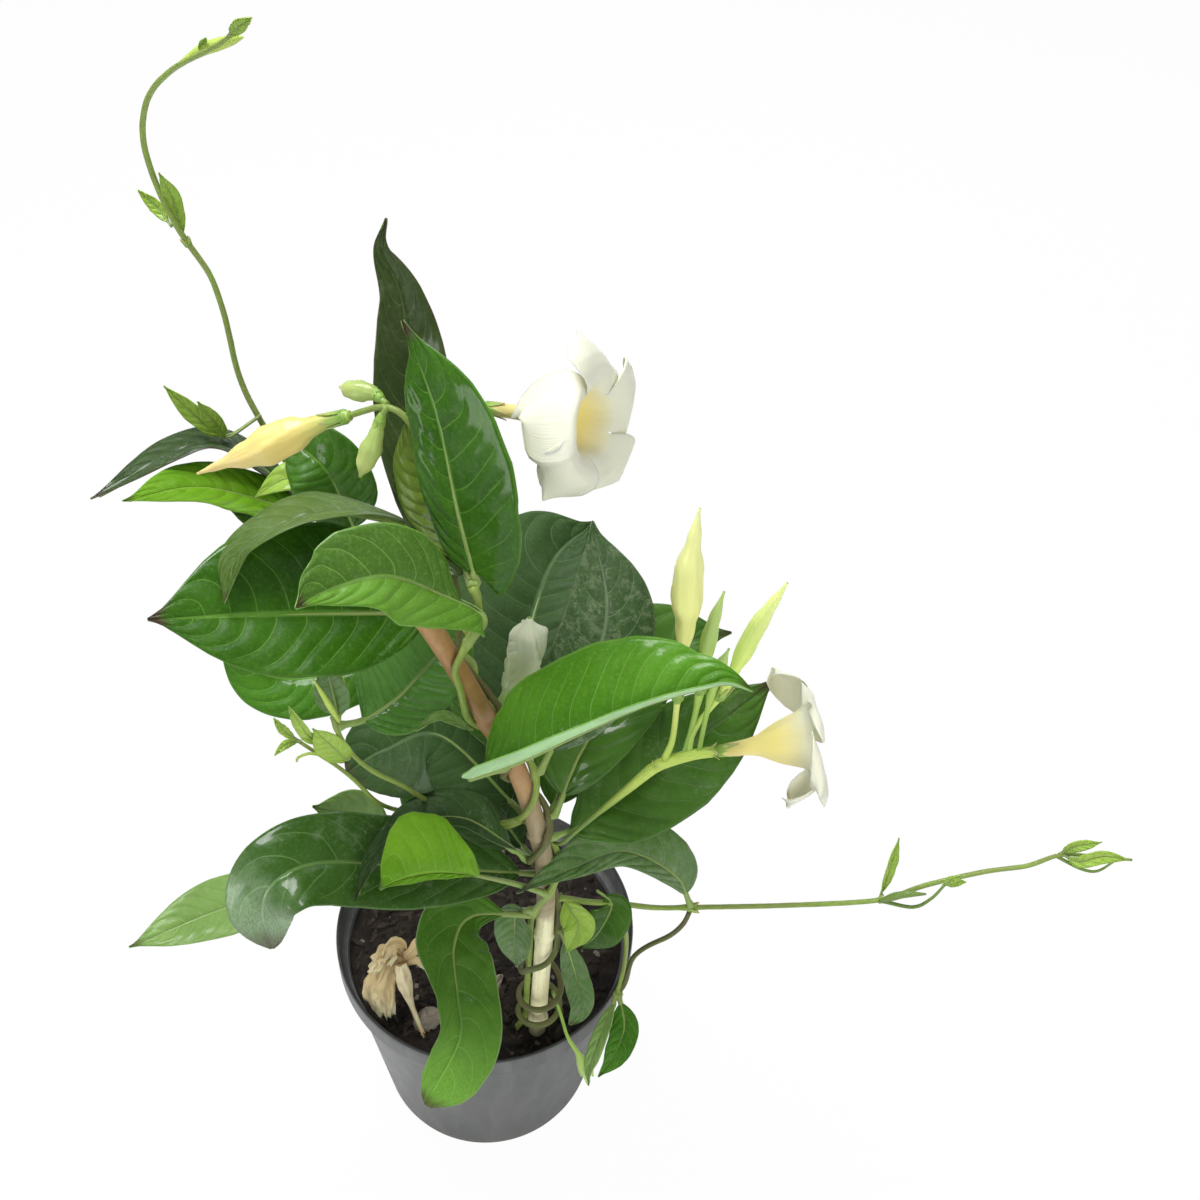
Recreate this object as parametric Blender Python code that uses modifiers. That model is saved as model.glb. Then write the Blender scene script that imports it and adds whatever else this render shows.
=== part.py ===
"""A white-flowered mandevilla trained up a bamboo cane in a black nursery pot.

Frame: metres, +Z up. The origin is the centre of the pot's underside, and -Y is the front, where the plant
shows its best side. Places and sizes below are in millimetres; MM turns them into metres.
"""

import math

import bmesh
import bpy
from mathutils import Matrix, Vector, noise

MM = 0.001
GAP = 0.4  # left between pieces that touch

# Pot: a thin nursery pot with a turned-out rim band
POT_HEIGHT = 115
RIM_RADIUS = 65
RIM_BAND = 12
NECK_RADIUS = 62
BASE_RADIUS = 50
BASE_CHAMFER = 3
WALL = 1.4
DRAIN_HOLES = 8
DRAIN_HOLE_RADIUS = 4
DRAIN_CIRCLE = 40
POT_STEPS = 48

# Growing mix
SOIL_TOP = 100
SOIL_MOUND = 2.5
SOIL_RINGS = 6
SOIL_SECTORS = 24
PLANTING_DEPTH = 14  # how far the stems reach below the surface

# Bamboo cane: (height, x, y) of its centre line
CANE_RADIUS = 3.6
CANE_LINE = (
    (62, 26, -41), (98, 26, -41), (200, 28, -40), (240, 25, -40),
    (280, 17, -41), (305, 8, -42), (335, -3, -43), (362, -14, -44),
)

# Two main stems twine up the cane: (height, turns) and (height, distance from the cane's centre line)
VINE_RADIUS = 1.3
TWINE = CANE_RADIUS + VINE_RADIUS + GAP
TURNS_A = ((86, 0.10), (106, 0.10), (116, 0.45), (126, 1.25), (138, 2.1), (156, 2.6), (175, 3.0), (340, 5.3))
AWAY_A = ((86, 12), (104, 12), (113, 8.8), (155, 8.6), (174, TWINE), (340, TWINE))
TURNS_B = ((86, 3.5), (175, 3.5), (340, 5.8))
AWAY_B = ((86, 9), (100, 9), (110, TWINE), (340, TWINE))

# Leaf outline: (share of the blade's length, share of its half width)
OUTLINE = ((0, 0.07), (0.07, 0.42), (0.18, 0.76), (0.34, 0.97), (0.5, 1), (0.66, 0.86), (0.8, 0.56),
           (0.9, 0.24), (0.96, 0.08), (1, 0.03))
LEAF_THICKNESS = 0.9
LEAF_STALK = 8
LEAF_STALK_RADIUS = 1.0

COLOURS = {
    "pot": ((0.018, 0.018, 0.020), 0.42),
    "soil": ((0.022, 0.017, 0.013), 0.95),
    "cane": ((0.50, 0.34, 0.17), 0.55),
    "stem": ((0.20, 0.30, 0.07), 0.5),
    "young_stem": ((0.25, 0.45, 0.08), 0.45),
    "leaf": ((0.045, 0.15, 0.02), 0.3),
    "young_leaf": ((0.12, 0.33, 0.02), 0.35),
    "corolla": ((0.88, 0.87, 0.78), 0.5),
    "bud": ((0.70, 0.72, 0.28), 0.45),
    "calyx": ((0.28, 0.42, 0.08), 0.5),
    "dried": ((0.58, 0.44, 0.24), 0.85),
}

# Stems: name, kind, radii spread evenly along it, points on the centre line
STEMS = (
    ("runner_left", "young_stem", (1.3, 1.2, 1.2, 1.1, 1, 1, 2.6, 0.5), (
        (3, -33, 321), (-14, -14, 316), (-38, 20, 312), (-60, 41, 315), (-76, 52, 334), (-88, 62, 353),
        (-92, 69, 375), (-96, 73, 389), (-102, 75, 398), (-108, 77, 411), (-112, 80, 430),
        (-107, 78, 446), (-99, 74, 455), (-91, 68, 462), (-78, 60, 471), (-66, 56, 480))),
    ("runner_right", "young_stem", (1.2, 1.1, 1, 1, 1, 1, 2, 0.5), (
        (35, -36, 196), (41, -36, 194), (57, -32, 188), (69, -29, 182), (84, -26, 179),
        (119, -25, 183), (157, -23, 188), (171, -21, 196), (194, -19, 206), (210, -19, 212),
        (219, -18, 219), (232, -20, 222), (244, -22, 224))),
    ("side_shoot_left", "young_stem", (1.1, 0.7), (
        (2, -48, 274), (-7, -50, 274), (-18, -49, 277), (-25, -49, 280), (-32, -48, 285), (-36, -48, 292),
        (-38, -49, 300), (-40, -48, 309))),
    ("side_shoot_low", "young_stem", (1.0, 0.6), (
        (17, -47, 256), (6, -54, 262), (-10, -56, 266), (-27, -54, 270), (-38, -52, 277),
        (-46, -50, 285))),
    ("hanging_shoot", "young_stem", (1.1, 0.7), (
        (57, -34, 184), (60, -33, 165), (61, -33, 143), (62, -35, 124), (62, -37, 117))),
    ("olive_branch", "stem", (1.1, 0.9), (
        (66, -34, 122), (67, -31, 132), (70, -28, 144), (76, -28, 155), (81, -28, 166), (83, -27, 174))),
    ("back_stem", "stem", (1.4, 0.9), (
        (-14, 30, 86), (-14, 30, 104), (-20, 22, 130), (-34, 6, 156), (-48, -14, 174), (-56, -25, 182))),
    ("raceme_right", "young_stem", (1.1, 0.9), (
        (35, -40, 229), (43, -45, 239), (51, -47, 243), (53, -42, 253), (55, -36, 261), (59, -35, 268),
        (65, -33, 279), (71, -31, 286), (73, -30, 291))),
    ("raceme_left", "young_stem", (1.2, 0.9), (
        (-7, -11, 367), (-10, -13, 382), (-14, -12, 394), (-18, -10, 400), (-24, -7, 400),
        (-30, -5, 396), (-35, -4, 393))),
    ("flower_stalk", "young_stem", (1.1, 1.1), (
        (-8, -5, 367), (-7, 0, 378), (-1, 5, 386), (7, 6, 391))),
)
BRANCHES = {}  # centre line and radius of each stem, by name


# ---------------------------------------------------------------- helpers

def clear_scene():
    for obj in list(bpy.data.objects):
        bpy.data.objects.remove(obj, do_unlink=True)


def material(kind):
    """The Principled BSDF material of one kind of surface, made on first use."""
    found = bpy.data.materials.get(kind)
    if found:
        return found
    colour, roughness = COLOURS[kind]
    made = bpy.data.materials.new(kind)
    made.use_nodes = True
    shader = made.node_tree.nodes["Principled BSDF"]
    shader.inputs["Base Color"].default_value = (*colour, 1)
    shader.inputs["Roughness"].default_value = roughness
    shader.inputs["Metallic"].default_value = 0
    return made


def collection(name):
    made = bpy.data.collections.new(name)
    bpy.context.scene.collection.children.link(made)
    return made


def put(obj, kind=None):
    """Links a sub-part to the plant's collection, with its material."""
    PLANT.objects.link(obj)
    if kind:
        obj.data.materials.append(material(kind))
    return obj


def mesh_object(name, verts, faces, kind):
    mesh = bpy.data.meshes.new(name)
    mesh.from_pydata([Vector(v) * MM for v in verts], [], faces)
    mesh.update()
    mesh.shade_smooth()
    return put(bpy.data.objects.new(name, mesh), kind)


def cut(obj, cutter):
    modifier = obj.modifiers.new("cut_" + cutter.name, "BOOLEAN")
    modifier.operation = "DIFFERENCE"
    modifier.object = cutter


def cylinder_cutter(name, radius, low, high, x, y, sides=16):
    """An upright cylinder to cut with, between two heights."""
    shape = bmesh.new()
    bmesh.ops.create_cone(shape, cap_ends=True, segments=sides, radius1=radius * MM,
                          radius2=radius * MM, depth=(high - low) * MM)
    bmesh.ops.translate(shape, verts=shape.verts, vec=Vector((x, y, (low + high) / 2)) * MM)
    mesh = bpy.data.meshes.new(name)
    shape.to_mesh(mesh)
    shape.free()
    obj = bpy.data.objects.new(name, mesh)
    CUTTERS.objects.link(obj)
    obj.hide_render = True
    obj.display_type = "WIRE"
    return obj


def eased(pairs, x):
    """Smooth value at x of a list of (x, value) pairs."""
    for (x0, y0), (x1, y1) in zip(pairs, pairs[1:]):
        if x <= x1:
            t = max(0, (x - x0) / (x1 - x0))
            return y0 + (y1 - y0) * t * t * (3 - 2 * t)
    return pairs[-1][1]


def spline(points, spacing):
    """Points about `spacing` apart on a smooth curve through `points`."""
    points = [Vector(p) for p in points]
    ends = [2 * points[0] - points[1], *points, 2 * points[-1] - points[-2]]
    line = []
    for a, b, c, d in zip(ends, ends[1:], ends[2:], ends[3:]):
        count = max(1, round((c - b).length / spacing))
        for step in range(count):
            t = step / count
            line.append(0.5 * (2 * b + (c - a) * t + (2 * a - 5 * b + 4 * c - d) * t * t
                               + (3 * b - a - 3 * c + d) * t ** 3))
    return line + [points[-1]]


def tube(name, line, radii, kind, resolution=1):
    """A solid stem along a line of points; radii are spread evenly along it."""
    curve = bpy.data.curves.new(name, "CURVE")
    curve.dimensions = "3D"
    curve.bevel_depth = MM
    curve.bevel_resolution = resolution
    curve.use_fill_caps = True
    path = curve.splines.new("POLY")
    path.points.add(len(line) - 1)
    for i, (point, place) in enumerate(zip(path.points, line)):
        share = i / (len(line) - 1) * (len(radii) - 1)
        low = min(int(share), len(radii) - 2)
        point.co = (*(place * MM), 1)
        point.radius = radii[low] + (radii[low + 1] - radii[low]) * (share - low)
    return put(bpy.data.objects.new(name, curve), kind)


# ---------------------------------------------------------------- pot, growing mix and cane

def pot():
    """The pot's outside, top to bottom, turned about Z and thickened inwards."""
    rim = POT_HEIGHT - RIM_BAND
    outline = (
        (RIM_RADIUS, POT_HEIGHT), (RIM_RADIUS, rim), (NECK_RADIUS, rim - 1),
        (BASE_RADIUS, BASE_CHAMFER), (BASE_RADIUS - BASE_CHAMFER, 0), (0, 0),
    )
    mesh = bpy.data.meshes.new("pot")
    mesh.from_pydata([(r * MM, 0, z * MM) for r, z in outline],
                     [(i, i + 1) for i in range(len(outline) - 1)], [])
    obj = put(bpy.data.objects.new("pot", mesh), "pot")
    turn = obj.modifiers.new("turn", "SCREW")
    turn.steps = turn.render_steps = POT_STEPS
    turn.use_merge_vertices = True
    turn.merge_threshold = 0.0001
    turn.use_smooth_shade = True
    shell = obj.modifiers.new("wall", "SOLIDIFY")
    shell.thickness = WALL * MM
    shell.offset = -1
    shell.use_even_offset = True
    for i in range(DRAIN_HOLES):
        angle = 2 * math.pi * i / DRAIN_HOLES
        cut(obj, cylinder_cutter(f"drain_{i + 1}", DRAIN_HOLE_RADIUS, -5, 8,
                                 DRAIN_CIRCLE * math.cos(angle), DRAIN_CIRCLE * math.sin(angle)))


def inner_radius(height):
    """Inside of the pot's tapering wall at a height, less the gap."""
    share = (height - BASE_CHAMFER) / (POT_HEIGHT - RIM_BAND - 1 - BASE_CHAMFER)
    return BASE_RADIUS + (NECK_RADIUS - BASE_RADIUS) * share - WALL - 2 * GAP


def soil_height(x, y):
    """Height of the growing mix's lumpy surface."""
    out = math.hypot(x, y) / inner_radius(SOIL_TOP)
    lumps = noise.noise(Vector((x * 0.05, y * 0.05, 3)))
    return SOIL_TOP + SOIL_MOUND * (1 - out * out) + 1.6 * lumps * (1 - out)


def soil():
    """The growing mix with the roots in it: one plug, bored where the cane and stems go in."""
    floor = WALL + 2 * GAP
    verts = [(0, 0, soil_height(0, 0))]
    for ring in range(1, SOIL_RINGS + 1):
        for sector in range(SOIL_SECTORS):
            radius = inner_radius(SOIL_TOP) * ring / SOIL_RINGS
            angle = 2 * math.pi * sector / SOIL_SECTORS
            x, y = radius * math.cos(angle), radius * math.sin(angle)
            verts.append((x, y, soil_height(x, y)))
    low = inner_radius(floor) - BASE_CHAMFER
    for sector in range(SOIL_SECTORS):
        angle = 2 * math.pi * sector / SOIL_SECTORS
        verts.append((low * math.cos(angle), low * math.sin(angle), floor))
    faces = [(0, 1 + s, 1 + (s + 1) % SOIL_SECTORS) for s in range(SOIL_SECTORS)]
    for ring in range(SOIL_RINGS):
        first = 1 + ring * SOIL_SECTORS
        for s in range(SOIL_SECTORS):
            after = (s + 1) % SOIL_SECTORS
            faces.append((first + s, first + SOIL_SECTORS + s,
                          first + SOIL_SECTORS + after, first + after))
    last = 1 + SOIL_RINGS * SOIL_SECTORS
    faces.append([last + s for s in reversed(range(SOIL_SECTORS))])
    obj = mesh_object("growing_mix", verts, faces, "soil")
    planted = [(CANE_RADIUS, CANE_LINE[0][0] - 2, cane_centre(SOIL_TOP))]
    for name in ("vine_a", "vine_b", "back_stem"):
        line, radius = BRANCHES[name]
        planted.append((radius, line[0].z - 1, line[0]))
    for i, (radius, depth, place) in enumerate(planted):
        cut(obj, cylinder_cutter(f"planting_hole_{i + 1}", radius + 1.3, depth, SOIL_TOP + 20,
                                 place.x, place.y, 12))


def cane_centre(height):
    """Where the cane's centre line is at a height."""
    line = spline([(x, y, z) for z, x, y in CANE_LINE], 4)
    for a, b in zip(line, line[1:]):
        if height <= b.z:
            return a.lerp(b, (height - a.z) / (b.z - a.z))
    return line[-1]


def cane():
    line = spline([(x, y, z) for z, x, y in CANE_LINE], 14)
    tube("bamboo_cane", line, (CANE_RADIUS, CANE_RADIUS * 0.92), "cane", 2)


# ---------------------------------------------------------------- stems

def twining(turns, away, top, step=4):
    """Points round the cane from below the growing mix to `top`."""
    line = []
    height = turns[0][0]
    while height <= top:
        angle = 2 * math.pi * eased(turns, height)
        reach = eased(away, height)
        line.append(cane_centre(height) + Vector((math.cos(angle), math.sin(angle), 0)) * reach)
        spin = abs(eased(turns, height + 1) - eased(turns, height)) * 2 * math.pi * reach
        height += step / math.hypot(1, spin)
    return line


def stems():
    stem_a = twining(TURNS_A, AWAY_A, 330)
    stem_a += spline([stem_a[-1], (-2, -28, 345), (-8, -14, 354), (-12, -8, 362)], 5)[1:]
    stem_b = twining(TURNS_B, AWAY_B, 336)
    stem_b += spline([stem_b[-1], (6, -40, 350), (4, -38, 360)], 5)[1:]
    for name, line in (("vine_a", stem_a), ("vine_b", stem_b)):
        BRANCHES[name] = line, VINE_RADIUS
        tube(name, line, (VINE_RADIUS, VINE_RADIUS * 0.85), "stem")
    for name, kind, radii, points in STEMS:
        line = spline(points, 6)
        BRANCHES[name] = line, radii[0]
        tube(name, line, radii, kind)


# ---------------------------------------------------------------- leaves

def leaf(name, stem, points, width, face, fold=(17, 17), twist=0, kind="leaf", stalk=LEAF_STALK,
         belly=1.0, rolled=0.12):
    """A leaf on its stalk, grown from the nearest place on a stem.

    points: where the stalk starts, then places along the midrib to the tip. face: the way the upper side
    looks. fold: degrees the left and right halves rise. twist: degrees from base to tip.
    belly: over 1 puts the widest place nearer the stalk. rolled: how far the margins curl under.
    """
    line, radius = BRANCHES[stem]
    start = min(line, key=lambda p: (p - Vector(points[0])).length)
    index = line.index(start)
    along = (line[min(index + 1, len(line) - 1)] - line[max(index - 1, 0)]).normalized()
    out = Vector(points[1]) - start
    out -= along * out.dot(along)
    base = start + out.normalized() * (radius + GAP + 0.35)
    midrib = spline([base, *points[1:]], 1)
    length = len(midrib) - 1
    stalk_share = stalk / length
    stations = [(0, 0, 0), (stalk_share * 0.5, 0, 0)]
    stations += [(stalk_share + (1 - stalk_share) * t ** belly, share * width / 2, 1)
                 for t, share in OUTLINE]
    verts, faces = [], []
    for share, half, blade in stations:
        i = min(round(share * length), length)
        centre = midrib[i]
        tangent = (midrib[min(i + 2, length)] - midrib[max(i - 2, 0)]).normalized()
        up = Vector(face) - tangent * tangent.dot(Vector(face))
        up = Matrix.Rotation(math.radians(twist * share), 3, tangent) @ up.normalized()
        side = tangent.cross(up)
        for k in range(8):
            angle = math.pi * (1 - k / 4)
            across = (-1, -0.5, 0, 0.5, 1, 0.5, 0, -0.5)[k]
            if blade:
                bend = math.radians(fold[0] if across < 0 else fold[1])
                outward = side if across > 0 else -side
                reach = half * abs(across)
                rise = reach * math.sin(bend) - half * rolled * across * across
                normal = up * math.cos(bend) - outward * math.sin(bend) if across else up
                deep = 1 if k > 4 else 0.5 if abs(across) == 1 else 0
                place = centre + up * rise + outward * reach * math.cos(bend)
                place += normal * LEAF_THICKNESS * (0.5 - deep)
            else:
                place = centre + LEAF_STALK_RADIUS * (side * math.cos(angle) + up * math.sin(angle))
            verts.append(place)
    for ring in range(len(stations) - 1):
        for k in range(8):
            # both sides are split along matching diagonals, so a twisted blade keeps its thickness
            a, b = ring * 8 + k, ring * 8 + (k + 1) % 8
            faces += ((a, b, b + 8), (a, b + 8, a + 8)) if k < 4 else ((a, b, a + 8), (b, b + 8, a + 8))
    faces.append(list(reversed(range(8))))
    faces.append([len(verts) - 8 + k for k in range(8)])
    mesh_object("leaf_" + name, verts, faces, kind)


def leaves():
    leaf("top_dark", "vine_a", ((-13, -9, 362), (-18, 6, 381), (-20, 17, 398), (-23, 23, 418),
                                (-28, 25, 431), (-27, 26, 439)), 32, (-0.4, -0.9, 0.1), (62, 3))
    leaf("top_bright", "vine_b", ((5, -39, 360), (0, -28, 381), (-7, -17, 407), (-18, -3, 426)), 40,
         (-0.35, -0.8, 0.45), stalk=3, belly=1.3)
    leaf("edge_olive", "vine_a", ((-9, -13, 357), (-16, -12, 377), (-20, -6, 394)), 22, (-0.9, -0.3, 0.3))
    leaf("left_dark_far", "runner_left", ((-58, 40, 315), (-94, 41, 342), (-129, 15, 337)), 26,
         (-0.1, 0.3, 0.95))
    leaf("left_bright", "runner_left", ((-56, 36, 312), (-91, 23, 338), (-113, 4, 347)), 24,
         (0, -0.1, 0.95))
    leaf("round_dark", "runner_left", ((-45, 26, 306), (-52, 27, 344), (-65, 36, 350)), 28,
         (0.2, -0.9, 0.5))
    leaf("left_back", "runner_left", ((-62, 43, 318), (-79, 38, 318), (-91, 34, 320)), 22, (0, -0.4, 0.9))
    leaf("long_arch", "vine_a", ((-11, -10, 360), (-34, -22, 372), (-49, -29, 373), (-62, -39, 369),
                                 (-65, -52, 361)), 24, (-0.3, 0.25, 0.9))
    leaf("big_left", "vine_a", ((-1, -31, 340), (-48, -47, 353), (-84, -60, 361)), 42, (-0.1, -0.5, 0.85),
         (17, -5))
    leaf("under_big", "runner_left", ((-10, -20, 317), (-58, -30, 305), (-80, -29, 321)), 38,
         (-0.2, -0.6, 0.75))
    leaf("mid_centre", "vine_b", ((2, -43, 342), (14, -48, 352), (-5, -46, 364), (-22, -49, 373),
                                  (-39, -66, 376)), 34, (0.1, -0.55, 0.8), (27, 27), belly=0.85)
    leaf("glossy_mid", "side_shoot_left", ((-36, -46, 292), (-20, -32, 298), (-3, -26, 312)), 28,
         (-0.2, -0.7, 0.7))
    leaf("front_low", "vine_b", ((23, -42, 192), (3, -48, 198), (0, -60, 196), (4, -76, 190),
                                 (6, -90, 184), (-9, -109, 173)), 36, (0.1, -0.6, 0.8))
    leaf("left_low", "vine_a", ((22, -44, 208), (-20, -49, 230), (-48, -61, 247), (-62, -70, 249),
                                (-65, -75, 238), (-60, -80, 221)), 42, (-0.1, -0.4, 0.9))
    leaf("far_left_low", "back_stem", ((-56, -25, 182), (-90, -45, 190), (-122, -66, 192)), 26,
         (-0.1, -0.2, 0.95))
    leaf("small_bright", "vine_b", ((29, -44, 212), (4, -52, 229), (-13, -53, 239), (-27, -63, 235)), 26,
         (0, -0.5, 0.8))
    leaf("dark_narrow", "vine_a", ((21, -41, 228), (14, -46, 243), (-1, -43, 253), (-17, -49, 256),
                                   (-29, -61, 251), (-33, -74, 245)), 16, (-0.2, 0.1, 0.95))
    leaf("right_big", "vine_a", ((14, -46, 287), (7, -60, 297), (47, -60, 321), (89, -53, 340)), 48,
         (0, -0.4, 0.9), (8, 84))
    leaf("speckled", "vine_b", ((23, -39, 276), (43, -14, 320), (37, 6, 349)), 34, (0, -0.8, 0.5))
    leaf("back_top", "vine_b", ((12, -36, 289), (21, 22, 312), (39, 43, 322)), 40, (0, -0.4, 0.9))
    leaf("back_right_up", "vine_a", ((28, -39, 250), (40, -24, 276), (62, 10, 284), (89, 21, 287)), 32,
         (0, -0.4, 0.9))
    leaf("right_dark", "vine_a", ((28, -43, 244), (42, -36, 246), (67, -22, 262), (102, -8, 295)), 40,
         (0.1, -0.6, 0.8))
    leaf("right_low", "runner_right", ((84, -27, 179), (76, -26, 200), (56, -33, 217), (36, -48, 220),
                                       (18, -57, 217)), 33, (0.2, -0.5, 0.85), belly=1.2)
    leaf("inner_left", "vine_b", ((21, -35, 243), (-16, -8, 260), (-39, -18, 258)), 34, (0, -0.3, 0.95))
    leaf("inner_low", "vine_a", ((25, -35, 213), (-2, -18, 236), (-27, -22, 239)), 34, (0, -0.3, 0.95))
    leaf("pale_left", "back_stem", ((-48, -14, 174), (-46, -20, 215), (-57, -31, 237)), 26,
         (0, -0.6, 0.8))
    leaf("drooping_blue", "vine_b", ((22, -41, 183), (16, -46, 174), (18, -46, 158)), 18,
         (-0.3, -0.8, 0.4))
    leaf("drooping_yellow", "vine_a", ((32, -37, 191), (40, -33, 176), (39, -36, 152)), 18,
         (0.2, -0.9, 0.3))
    leaf("back_left", "vine_a", ((14, -38, 270), (-6, 22, 282), (-30, 52, 272)), 38, (-0.2, 0.5, 0.85))
    leaf("back_right", "vine_b", ((26, -34, 236), (42, 24, 250), (52, 62, 238)), 38, (0.2, 0.5, 0.85))
    leaf("back_low", "back_stem", ((-14, 28, 112), (-30, 52, 150), (-46, 78, 158)), 34, (-0.3, 0.4, 0.85))
    leaf("hanging_front", "hanging_shoot", ((62, -37, 119), (66, -52, 120), (60, -63, 106)), 14,
         (0.1, -0.9, 0.4), stalk=3)
    leaf("hanging_back", "hanging_shoot", ((62, -37, 123), (55, -50, 119), (51, -66, 101)), 11,
         (-0.6, -0.6, 0.4), stalk=3)


# ---------------------------------------------------------------- flowers and buds

# Corolla: (distance along the axis, radius, depth of the notches between the lobes)
COROLLA = ((0, 1.4, 0), (8, 1.7, 0), (13, 2.6, 0), (17, 5, 0), (23, 7, 0), (28, 9, 0), (31, 13, 0.06),
           (31.5, 18, 0.22), (29.5, 23, 0.4), (26.5, 26, 0.6))
LOBES = 5
COROLLA_SECTORS = 20
PETAL = 0.8


def corolla(name, base, face, turned=0):
    """A funnel-shaped flower: narrow tube, bell and five spreading lobes, as one thin shell."""
    turn = Vector(face).to_track_quat("Z", "Y")
    verts, faces = [], []
    for along, radius, notch in COROLLA:
        for k in range(COROLLA_SECTORS):
            angle = 2 * math.pi * k / COROLLA_SECTORS + turned
            valley = abs(math.sin(LOBES / 2 * (angle - turned)))
            reach = radius * (1 - notch * (1 - valley) ** 1.5)
            place = turn @ Vector((reach * math.cos(angle), reach * math.sin(angle), along))
            verts.append(Vector(base) + place)
    for ring in range(len(COROLLA) - 1):
        for k in range(COROLLA_SECTORS):
            a, b = ring * COROLLA_SECTORS + k, ring * COROLLA_SECTORS + (k + 1) % COROLLA_SECTORS
            faces.append((a, b, b + COROLLA_SECTORS, a + COROLLA_SECTORS))
    faces.append(list(reversed(range(COROLLA_SECTORS))))
    obj = mesh_object(name, verts, faces, "corolla")
    shell = obj.modifiers.new("petal", "SOLIDIFY")
    shell.thickness = PETAL * MM
    shell.offset = -1


def flowers():
    corolla("flower_top", (10, 6, 391), (0.75, -0.62, 0.22))
    corolla("flower_right", (84, -33, 286), (0.81, -0.26, 0.52), 0.3)
    for name, points, radii, kind in (
            ("bud_furled", ((-37, -3, 392), (-46, -2, 387), (-60, -4, 380), (-81, -11, 373)),
             (1.6, 1.8, 3, 5.4, 5.8, 4, 1.5, 0.4), "corolla"),
            ("bud_small_left", ((-28, -2, 400), (-33, 0, 399), (-39, 4, 397)), (1, 3, 3.4, 2, 0.4), "bud"),
            ("bud_hanging_left", ((-25, -9, 396), (-27, -12, 390), (-31, -16, 380)),
             (1, 2.6, 3.4, 2.4, 0.4), "bud"),
            ("bud_tall", ((73, -28, 296), (70, -25, 324), (68, -23, 354), (69, -20, 380)),
             (1, 1, 1.8, 1.7, 3.4, 5.2, 3.6, 1.6, 0.4), "corolla"),
            ("bud_inner", ((76, -29, 292), (76, -27, 323), (77, -25, 339), (78, -23, 350)),
             (1, 1, 1.6, 1.8, 2.6, 1.6, 0.4), "bud"),
            ("bud_right", ((77, -33, 287), (83, -26, 313), (90, -23, 334), (97, -21, 355)),
             (1, 1, 1.7, 1.8, 3, 2.8, 1.4, 0.4), "bud"),
            ("bud_half_open", ((8, -31, 296), (13, -25, 299), (18, -20, 313), (19, -17, 327)),
             (1, 2, 4, 6, 6.4, 5), "corolla"),
            ("bud_drooping", ((38, -38, 126), (40, -46, 121), (43, -53, 118), (45, -59, 108), (45, -63, 95)),
             (0.7, 0.7, 0.8, 1.6, 2.6, 1.2), "bud"),
            ("dried_flower", ((-25, -40, 103), (-30, -38, 108), (-34, -34, 118), (-38, -30, 130)),
             (0.9, 0.9, 2, 6, 8, 9), "dried")):
        tube(name, spline(points, 5), radii, kind, 1)


def main():
    clear_scene()
    global PLANT, CUTTERS
    PLANT = collection("potted_mandevilla")
    CUTTERS = collection("cutters")
    stems()
    cane()
    pot()
    soil()
    leaves()
    flowers()


main()
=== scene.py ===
import math
import random

import bmesh
import bpy
from mathutils import Matrix, Quaternion, Vector, noise


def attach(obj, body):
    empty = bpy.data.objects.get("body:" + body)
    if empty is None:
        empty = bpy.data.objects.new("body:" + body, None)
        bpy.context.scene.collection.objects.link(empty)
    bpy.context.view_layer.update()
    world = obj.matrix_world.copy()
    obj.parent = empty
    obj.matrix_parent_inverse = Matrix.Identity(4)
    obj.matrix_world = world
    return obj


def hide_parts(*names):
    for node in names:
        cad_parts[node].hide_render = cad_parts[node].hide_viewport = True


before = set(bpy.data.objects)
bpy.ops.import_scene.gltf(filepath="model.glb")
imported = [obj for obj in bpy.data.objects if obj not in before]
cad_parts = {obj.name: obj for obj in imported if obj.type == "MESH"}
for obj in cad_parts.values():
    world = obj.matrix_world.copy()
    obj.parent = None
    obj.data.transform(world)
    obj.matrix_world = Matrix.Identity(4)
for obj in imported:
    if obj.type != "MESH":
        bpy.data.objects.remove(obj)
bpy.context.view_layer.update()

mm = 0.001  # shapes are in millimetres until a mesh is made; the sizes in materials are in metres


# ---- small maths -------------------------------------------------------------------------------------

def smooth(low, high, x):
    t = max(0.0, min(1.0, (x - low) / (high - low)))
    return t * t * (3 - 2 * t)


def eased(pairs, x):
    for (x0, y0), (x1, y1) in zip(pairs, pairs[1:]):
        if x <= x1:
            t = max(0, (x - x0) / (x1 - x0))
            return y0 + (y1 - y0) * t * t * (3 - 2 * t)
    return pairs[-1][1]


def linear(pairs, x):
    for (x0, y0), (x1, y1) in zip(pairs, pairs[1:]):
        if x <= x1:
            return y0 + (y1 - y0) * max(0, (x - x0) / (x1 - x0))
    return pairs[-1][1]


def between(values, share, easing=False):
    # a value on the way along an evenly spaced row of values
    place = share * (len(values) - 1)
    low = min(int(place), len(values) - 2)
    t = place - low
    step = values[low + 1] - values[low]
    return values[low] + (step * t * t * (3 - 2 * t) if easing else step * t)


def spline(points, spacing):
    # points on a smooth curve through the given ones
    points = [Vector(p) for p in points]
    ends = [2 * points[0] - points[1], *points, 2 * points[-1] - points[-2]]
    line = []
    for a, b, c, d in zip(ends, ends[1:], ends[2:], ends[3:]):
        count = max(1, round((c - b).length / spacing))
        for step in range(count):
            t = step / count
            line.append(0.5 * (2 * b + (c - a) * t + (2 * a - 5 * b + 4 * c - d) * t * t
                               + (3 * b - a - 3 * c + d) * t ** 3))
    return line + [points[-1]]


def atShare(line, share):
    place = max(0.0, min(1.0, share)) * (len(line) - 1)
    low = min(int(place), len(line) - 2)
    return line[low].lerp(line[low + 1], place - low)


def lengthOf(line):
    return sum((b - a).length for a, b in zip(line, line[1:]))


def around(count):
    return [2 * math.pi * k / count for k in range(count)]


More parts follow.
